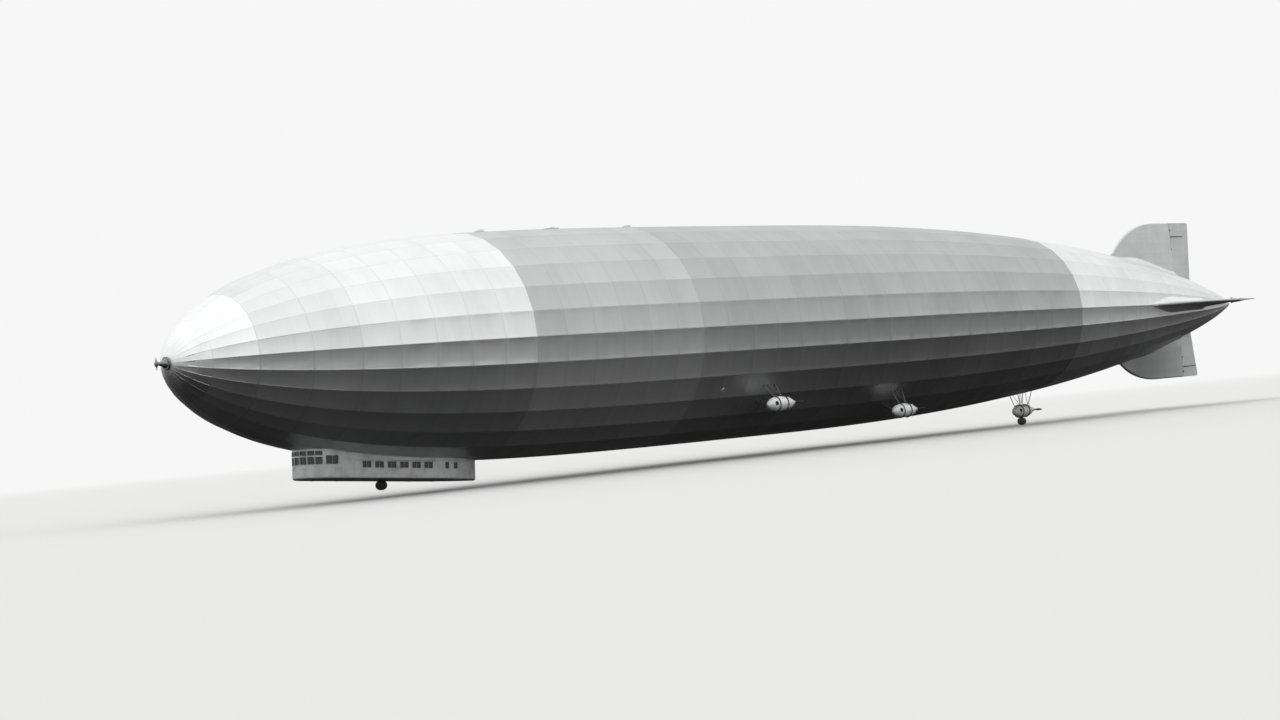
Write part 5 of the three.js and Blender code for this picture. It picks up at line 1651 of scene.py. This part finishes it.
cutters.across(loop, (-0.36, -0.26), (-(front + rear) / 2, (sill + head) / 2))
walls = cut_out("gondola_band", Form().loft(rings, wrap=True), cutters)
replaced = ("control_room_wall", "gondola_wall_port", "gondola_wall_starboard", "gondola_stern_wall")
piece("gondola_walls", walls, "ship", "cabin_paint", cabin_paint, *replaced, sharp=32.0, at=GONDOLA_PLACE)

# Gondola trim
# Window frames of drawn moulding, beading along the skin's joints, posts over the frames, a rubbing strake
# and a rain gutter over the windows, all riveted on.
TRIM_PROUD = 0.0012
FRAME_GAP = 0.003  # from a window's opening to the middle of its moulding
FRAME_POSTS = (0.44, 0.64, 0.732, 0.928, 1.124, 1.32, 1.516, 1.712, 1.908, 1.962, 2.06, 2.2, 2.36)
POST_SECTION = ((-0.006, -0.001), (-0.005, 0.0014), (0.005, 0.0014), (0.006, -0.001))  # along, proud
BEAD_HEIGHTS = (0.03, 0.094, 0.206)
BEAD_CLEAR = 0.008  # between the beading's end and a window
CONTROL_BAND = (0.14, 0.24)  # heights between which the control room's windows leave no room for beading
GUTTER_UP = 0.012
GUTTER_RUN = (-0.62, -1.92)


def frame_round(form, place_of, width, sill, head, radius):
    """A moulding round a window, its path carried from across and up to the wall by place_of."""
    path = []
    for a, b in rounded_loop(width, head - sill, WINDOW_CORNER + 0.002, 4):
        at, outward = place_of(a)
        path.append(at + TRIM_PROUD * outward + ((sill + head) / 2 + b) * UP)
    # Long straight runs get more points, so that the moulding bends with the wall.
    dense = []
    for a, b in zip(path, path[1:] + path[:1]):
        count = max(1, round((b - a).length / 0.02))
        dense += [a.lerp(b, i / count) for i in range(count)]
    form.tube(dense, radius, 6, wrap=True)


def frame_window(form, place_of, width, sill, head):
    frame_round(form, place_of, width + 2 * FRAME_GAP, sill - FRAME_GAP, head + FRAME_GAP, 0.003)


trim = Form()
for bearing in CONTROL_BEARINGS:
    for sill, head in CONTROL_ROWS:
        frame_window(trim, lambda a: on_front(bearing, a), CONTROL_WIDTH, sill, head)
for middle, width, sill, head in side_windows():
    for side in (-1, 1):
        frame_window(trim, lambda a: on_side(middle + a, side), width, sill, head)
        if width > 0.1:
            at, outward = on_side(middle, side)
            trim.tube([at - 0.004 * outward + up * UP for up in (sill, head)], 0.0022, 6)
front, rear, sill, head = DOORWAY
at_door, wide = -(front + rear) / 2, rear - front + 2 * FRAME_GAP
frame_round(trim, lambda a: on_side(at_door + a, -1), wide, sill + 0.002, head + FRAME_GAP, 0.0026)
places = []
for side in (-1, 1):
    run = [(x, y) for x, y in plan_side(0.0, 0.02) if x > -GONDOLA_LENGTH + 0.02][1:]
    for height in BEAD_HEIGHTS:
        # The beading breaks where windows or the doorway cross it.
        runs = [[]]
        for x, y in run:
            at, outward = on_side(x, side)
            if x >= -GONDOLA_BOW:
                at, outward = Vector((x, side * y, 0)), front_outward(x, side * y)
            if wall_top(x, side * y) <= height + 0.01:
                continue
            at = at + 0.0006 * outward + height * UP
            crossed = at.x > -0.2 and CONTROL_BAND[0] < height < CONTROL_BAND[1]
            crossed = crossed or (side < 0 and -rear - 0.012 < at.x < -front + 0.012)
            for middle, width, low, high in side_windows():
                beside = abs(at.x - middle) < width / 2 + BEAD_CLEAR
                crossed = crossed or (beside and low - BEAD_CLEAR < height < high + BEAD_CLEAR)
            if crossed:
                runs.append([])
            else:
                runs[-1].append((at, outward))
        for part in runs:
            if len(part) > 5:
                trim.tube([at for at, _ in part], 0.0022, 6)
                places += [(at + off * UP, outward) for at, outward in part for off in (-0.007, 0.007)]
    for behind in FRAME_POSTS:
        at, outward = on_side(-behind, side)
        top = wall_top(at.x, at.y) - 0.004
        if top < 0.03 or (side < 0 and front - 0.01 < behind < rear + 0.01):
            continue
        along = Vector((-outward.y, outward.x, 0))
        trim.loft([[at + a * along + b * outward + up * UP for a, b in POST_SECTION] for up in (0.002, top)])
        heights = [0.012 + 0.02 * k for k in range(int(top / 0.02))]
        places += [(at + 0.0014 * outward + up * UP, outward) for up in heights]
    gutter = [on_side(between(*GUTTER_RUN, i / 39), side) for i in range(40)]
    trim.tube([at + 0.002 * outward + (SALOON_HEAD + GUTTER_UP) * UP for at, outward in gutter], 0.003, 8)
# The joint with the hull is closed all round by a strip, bedded against the cover.
joint = [(x, y, wall_top(x, y, 0.0)) for x, y in plan_loop(-0.001, 0.03)]
trim.tube([p for p in joint if p[2] > 0.0], 0.0055, 8, wrap=True)
rivet_heads(trim, places, 0.0013)
piece("gondola_trim", trim, "ship", "cabin_paint", cabin_paint, sharp=32.0, at=GONDOLA_PLACE)

# Glass
# Plate glass behind the window openings, a little dark, with rain marks. The solids' panes are right as
# they are and only take the glass. The stern's small windows and the door get panes of their own.
PANE_LAP = 0.006  # how far a pane laps behind the wall all round
PANE_DEPTHS = (0.0075, 0.01)  # behind the wall's outer face


def dress(names, material):
    """A new material on nodes that keep their own shapes."""
    for name in names:
        nodes[name].data.materials.clear()
        nodes[name].data.materials.append(material)


glass, n, shader = finish_of("plate_glass", Metallic=0.0, Transmission_Weight=0.55, IOR=1.46)
grime = n.place(grime_group, Position=n.point(), Scale=7.0)
n.feed(shader, "Base Color", n.mix(grime["Blotch"], (0.1, 0.115, 0.125), (0.16, 0.165, 0.165)))
n.feed(shader, "Roughness", n.mapped(grime["Streak"], 0, 1, 0.03, 0.12))
dress(("control_room_glass", "gondola_glass_port", "gondola_glass_starboard"), glass)
panes = Form()
height, middle = SALOON_HEAD - SALOON_SILL, (SALOON_HEAD + SALOON_SILL) / 2
outline = rounded_loop(STERN_WIDTH + 2 * PANE_LAP, height + 2 * PANE_LAP, WINDOW_CORNER)
for behind in STERN_MIDDLES:
    for side in (-1, 1):
        rings = []
        for depth in PANE_DEPTHS:
            rings.append([(a - behind, side * side_half(a - behind, depth), middle + b) for a, b in outline])
        panes.loft(rings)
piece("stern_panes", panes, "ship", "window_glass", glass, at=GONDOLA_PLACE)

# Cabin inside
# Roof and partitions of thin boards, varnished, with the rooms' fittings: the two helm wheels and a
# chart table in front, tables with benches in the saloon, and bunks against the partitions behind.
WHEELS = [
    # ahead, to port, turned across the ship
    (-0.115, 0.0, False),
    (-0.25, 0.215, True),
]
WHEEL_RADIUS, WHEEL_HEIGHT = 0.038, 0.085
WHEEL_HUB = [(-0.006, 0.006), (-0.005, 0.008), (0.005, 0.008), (0.006, 0.006)]
WHEEL_SPOKE = [
    # from the hub's middle, radius
    (0.006, 0.0016), (0.03, 0.0016), (0.041, 0.0026), (0.052, 0.0018),
]
WHEEL_POST = [
    # height, radius
    (0.0005, 0.016), (0.004, 0.015), (0.008, 0.008), (0.08, 0.007), (0.09, 0.011), (0.094, 0.006),
]
TABLE_SIDE, TABLE_HALF = 0.205, 0.055  # from the middle of the ship, half width

cabin_lining, n, shader = finish_of("cabin_lining", Metallic=0.0)
where = n.point()
grain = n.noise(n.scaled(where, (4.0, 40.0, 4.0)), 6.0, 5, 0.65)
joint = near_whole(n, n.times(n.axes(where)["Y"], 16.0), 0.03)
tone = n.mix(grain, (0.2, 0.14, 0.09), (0.34, 0.25, 0.16))
n.feed(shader, "Base Color", n.mix(joint, tone, (0.06, 0.045, 0.03)))
n.feed(shader, "Roughness", n.mapped(grain, 0.3, 0.7, 0.38, 0.55))
n.bump(shader, n.math("SUBTRACT", n.times(grain, 0.3), joint), 0.3, 0.001)
dress(("gondola_roof", "bulkhead_control_room", "bulkhead_passenger_aft"), cabin_lining)

wheel = Form().tube([(0, y, z) for y, z in circle(WHEEL_RADIUS, 32)], 0.0026, 8, wrap=True)
wheel.turned(WHEEL_HUB, 14)
for y, z in circle(1.0, 8):
    wheel.tube([(0, r * y, r * z) for r, _ in WHEEL_SPOKE], [thick for _, thick in WHEEL_SPOKE], 6)
post = Form().turned(WHEEL_POST, 14).moved(Matrix.Rotation(-pi / 2, 4, "Y"))
fittings = Form()
for x, y, turned in WHEELS:
    hub = Vector((x, y, WHEEL_HEIGHT))
    back = Vector((0, -0.016, 0)) if turned else Vector((-0.016, 0, 0))
    placement = Matrix.Translation(hub)
    if turned:
        placement = placement @ Matrix.Rotation(pi / 2, 4, "Z")
    fittings.join(wheel, placement)
    fittings.tube([hub, hub + back], 0.004, 10)
    fittings.join(post, Matrix.Translation((x + back.x, y + back.y, 0)))


def fitting(x, half_long, y, half_wide, low, high, cut):
    fittings.block((x - half_long, y - half_wide, low), (x + half_long, y + half_wide, high), cut)


fitting(-0.365, 0.03, -0.17, 0.07, 0.07, 0.074, 0.0015)
for x in (-0.39, -0.34):
    for y in (-0.235, -0.105):
        fittings.tube([(x, y, 0.002), (x, y, 0.071)], 0.0025, 8)
for middle in (-0.93 - 0.36 * i for i in range(3)):
    for y in (-TABLE_SIDE, TABLE_SIDE):
        fitting(middle, 0.045, y, TABLE_HALF, 0.068, 0.072, 0.0015)
        fittings.tube([(middle, y, 0.002), (middle, y, 0.069)], 0.004, 10)
        for way in (-1, 1):
            seat = middle + way * 0.09
            fitting(seat, 0.026, y, TABLE_HALF, 0.036, 0.046, 0.004)
            fitting(seat + way * 0.026, 0.005, y, TABLE_HALF, 0.04, 0.1, 0.004)
            fitting(seat, 0.02, y, TABLE_HALF - 0.01, 0.002, 0.037, 0.003)
for side in (-1, 1):
    for height in (0.04, 0.11):
        fitting(-2.18, 0.12, side * 0.15, 0.045, height, height + 0.012, 0.004)
    for x in (-2.3, -2.06):
        for y in (0.105, 0.195):
            fittings.tube([(x, side * y, 0.001), (x, side * y, 0.16)], 0.003, 8)
piece("cabin_fittings", fittings, "ship", "cabin_lining", cabin_lining, sharp=32.0, at=GONDOLA_PLACE)

# Gondola door
# A sheet-metal door on the starboard side, pressed with a raised panel, with a small pane and a lever
# handle. It hangs on three arms from a pin that turns in two eyes on the wall.
DOOR_HINGE = (-0.493, -0.307)
DOOR_LEAF = (-0.57, -0.5, 0.005, 0.183)  # rear, front, sill, head
DOOR_FACE = -0.3
DOOR_EDGE = [
    # share of the leaf's size, depth behind its face
    (0.94, 0.0), (1.0, 0.001), (1.0, 0.007), (0.985, 0.008),
]
DOOR_PANE = (0.014, 0.1, 0.16)  # from the side, sill, head
DOOR_PANEL = (0.012, 0.052, 0.07)  # from the side, middle, height
DOOR_PIN = 0.003
DOOR_ARMS = (0.024, 0.094, 0.166)
DOOR_ARM_OUTLINE = [
    # ahead of the hinge, across
    (-0.003, -0.309), (-0.001, -0.3035), (-0.01, -0.2995), (-0.04, -0.2995), (-0.042, -0.3012),
    (-0.01, -0.3016), (-0.0055, -0.305),
]
DOOR_ARM_RIVETS = ((-0.018, -0.3014), (-0.032, -0.3012))
DOOR_EYES = (0.042, 0.146)
DOOR_EYE_PROFILE = [
    # radius, up
    (0.0034, -0.003), (0.0034, 0.003), (0.0056, 0.003), (0.006, 0.0026), (0.006, -0.0026), (0.0056, -0.003),
]
DOOR_EYE_FOOT = [(0.0052, -0.31), (0.014, -0.308), (0.016, -0.2985), (0.003, -0.2985), (0.0045, -0.3035)]
HANDLE_PATH = [
    # ahead, out, up from the rose, radius
    (0.0, 0.0, 0.0, 0.0016), (0.0, 0.0065, 0.0, 0.0016), (0.004, 0.0075, 0.0, 0.0015),
    (0.019, 0.0075, -0.001, 0.0011),
]

rear, front, sill, head = DOOR_LEAF
middle, up = (rear + front) / 2, (sill + head) / 2
loop = rounded_loop(front - rear, head - sill, 0.005)
rings = []
for grow, depth in DOOR_EDGE:
    tall = 1 - (1 - grow) * 0.4
    rings.append([(middle + a * grow, DOOR_FACE + depth, up + b * tall) for a, b in loop])
side, pane_sill, pane_head = DOOR_PANE
pane_wide, pane_tall, pane_up = front - rear - 2 * side, pane_head - pane_sill, (pane_sill + pane_head) / 2
hole = rounded_loop(pane_wide, pane_tall, 0.006)
cutter = Form().across(hole, (-0.32, -0.28), (middle, pane_up))
leaf = cut_out("door_leaf", Form().loft(rings), cutter)
piece(
    "door_leaf", leaf, "gondola_door", "cabin_paint", cabin_paint, "gondola_door",
    sharp=32.0, at=GONDOLA_PLACE,
)

x, y = DOOR_HINGE
irons = Form().tube([(x, y, DOOR_ARMS[0] - 0.006), (x, y, DOOR_ARMS[-1] + 0.006)], DOOR_PIN, 16)
for height in DOOR_ARMS:
    irons.tube([(x, y, height - 0.005), (x, y, height + 0.005)], 0.0042, 16)
    irons.standing(DOOR_ARM_OUTLINE, (height - 0.0048, height + 0.0048), (x, 0.0))
    rivet_heads(irons, [((x + a, b, height), (0, -1, 0)) for a, b in DOOR_ARM_RIVETS], 0.0013)
for face, height, loop, radius in (
    (-0.3006, pane_up, rounded_loop(pane_wide + 0.004, pane_tall + 0.004, 0.008), 0.0016),
    (-0.3004, DOOR_PANEL[1], rounded_loop(front - rear - 2 * DOOR_PANEL[0], DOOR_PANEL[2], 0.006), 0.0012),
):
    irons.tube([(middle + a, face, height + b) for a, b in loop], radius, 6, wrap=True)
rose = Vector((rear + 0.009, DOOR_FACE, 0.094))
irons.join(Form().turned([(0, 0.0042), (0.002, 0.0042), (0.003, 0.003)], 14), facing((0, -1, 0), rose))
handle = [rose + Vector((ahead, -out, lift)) for ahead, out, lift, _ in HANDLE_PATH]
irons.tube(handle, [radius for *_, radius in HANDLE_PATH], 8)
piece("door_irons", irons, "gondola_door", "fitting_metal", hinge_steel, sharp=32.0, at=GONDOLA_PLACE)
pane = Form().across(hole, (-0.2975, -0.295), (middle, pane_up))
piece("door_pane", pane, "gondola_door", "window_glass", glass, at=GONDOLA_PLACE)

eyes = Form()
for height in DOOR_EYES:
    eyes.join(Form().upright(DOOR_EYE_PROFILE, 20, wrap=True), Matrix.Translation((x, y, height)))
    eyes.standing(DOOR_EYE_FOOT, (height - 0.0028, height + 0.0028), (x, 0.0))
piece("door_eyes", eyes, "ship", "fitting_metal", hinge_steel, sharp=32.0, at=GONDOLA_PLACE)

# Handrails
# Bars of drawn tube along both sides below the floor, on posts screwed into the pan's edge through
# round plates.
RAIL_OUT, RAIL_DOWN, RAIL_RADIUS = 0.022, 0.014, 0.0045
RAIL_RUN = (0.33, 2.02)
RAIL_END = ((0.0, 0.4), (0.002, 0.8), (0.006, 1.0))  # from the end, share of the radius
RAIL_POSTS = [0.39 + 0.394 * i for i in range(5)]
RAIL_PLATE = [(-0.006, 0.0085), (0.0008, 0.0085), (0.002, 0.0075), (0.0035, 0.0048)]

rail_steel = sheet_finish(
    "rail_steel", (0.4, 0.405, 0.41), (0.66, 0.66, 0.66), (0.16, 0.15, 0.14), 0.34, 0.85,
    scale=9.0, dent=0.15,
)
start, end = RAIL_RUN
ends = [(start + off, size) for off, size in RAIL_END] + [(end - off, size) for off, size in RAIL_END[::-1]]
for name, side in (("handrail_port", 1), ("handrail_starboard", -1)):
    y, z = side * (GONDOLA_HALF + RAIL_OUT), -RAIL_DOWN
    rail = Form().tube([(-behind, y, z) for behind, _ in ends], [RAIL_RADIUS * size for _, size in ends], 16)
    for x in (-behind for behind in RAIL_POSTS):
        rail.tube([(x, y, z), (x, side * (GONDOLA_HALF - 0.01), z)], 0.0035, 12)
        rail.tube([(x - 0.006, y, z), (x + 0.006, y, z)], 0.0056, 14)
        plate_at = facing((0, side, -0.25), (x, side * (GONDOLA_HALF - 0.0035), z))
        rail.join(Form().turned(RAIL_PLATE, 18), plate_at)
    rail.moved(GONDOLA_PLACE)
    piece(name + "_tube", rail, "ship", "fitting_metal", rail_steel, name)

# Landing bumpers
# Round air cushions of rubbered canvas under the gondola and the aft car, which soften a landing.
# They are sewn from gores, strapped at the waist and closed by a plate with a valve below.
BUMPERS = {
    "bumper_front": GONDOLA_PLACE @ Vector((-1.29, 0, -0.0263)) - 0.002 * UP,
    "bumper_aft": Vector(CARS["car_aft"]) - (CAR_RADIUS + HOOP_PROUD - 0.002) * UP,
}
BAG_NECK = (-0.04, 0.024)  # below the mounting plate, radius
BAG_MIDDLE = 0.06
BAG_HALF_DEPTH = 0.0585
BAG_RADIUS = 0.0738
BAG_MOUTH = 0.228  # angle from the bag's axis at which it meets its neck above and its plate below
BAG_SEAM = 0.0026
GORES, GORE_STEPS = 12, 6
WAIST_DOWN = 0.056
COLLAR = [
    # up, radius
    (0.03, 0.0262), (0.03, 0.03), (-0.004, 0.03), (-0.0055, 0.0285), (-0.0055, 0.0262),
]
PLATE = [
    # down, radius
    (0.1165, 0.026), (0.1185, 0.026), (0.1195, 0.0235), (0.1198, 0.006), (0.12, 0.0055),
]

bumper_canvas, n, shader = finish_of("bumper_canvas", Metallic=0.0)
where = n.point()
grime = n.place(grime_group, Position=where, Scale=14.0)
weave = n.noise(where, 420.0, 2, 0.5)
base = n.mix(grime["Blotch"], (0.06, 0.058, 0.055), (0.115, 0.11, 0.102))
n.feed(shader, "Base Color", n.mix(n.times(grime["Streak"], 0.5), base, (0.19, 0.18, 0.165)))
n.feed(shader, "Roughness", n.mapped(weave, 0.3, 0.7, 0.7, 0.9))
n.bump(shader, n.math("ADD", weave, n.times(grime["Blotch"], 0.6)), 0.35, 0.0015)

turns = np.linspace(BAG_MOUTH, pi - BAG_MOUTH, 30)
profile = [(BAG_MIDDLE - BAG_HALF_DEPTH * cos(t), BAG_RADIUS * sin(t) ** 0.75) for t in turns]
rings = []
for down, radius in [BAG_NECK, *profile]:
    ring = []
    for k, (a, b) in enumerate(circle(1.0, GORE_STEPS * GORES)):
        slack = 1 - abs(sin(pi * k / GORE_STEPS)) ** 0.7
        r = radius - BAG_SEAM * slack * (0.0 if down < 0.0 else radius / BAG_RADIUS)
        ring.append((r * a, r * b, -down))
    rings.append(ring)
bag = Form().loft(rings)
straps = Form()
for a, b in circle(1.0, GORES):
    straps.tube([((r - 0.0018) * a, (r - 0.0018) * b, -down) for down, r in profile], 0.0017, 6)
straps.tube([(x, y, -WAIST_DOWN) for x, y in circle(BAG_RADIUS, 72)], 0.0024, 8, wrap=True)
straps.join(Form().turned(COLLAR, 40, wrap=True), Matrix.Rotation(-pi / 2, 4, "Y"))
straps.join(Form().turned(PLATE, 32), Matrix.Rotation(pi / 2, 4, "Y"))
for name, place in BUMPERS.items():
    at = Matrix.Translation(place)
    cushion = piece(name + "_bag", bag, "ship", "bumper_rubber", bumper_canvas, name, sharp=60.0, at=at)
    piece(name + "_straps", straps, "ship", "bumper_rubber", bumper_canvas, sharp=32.0, at=at)
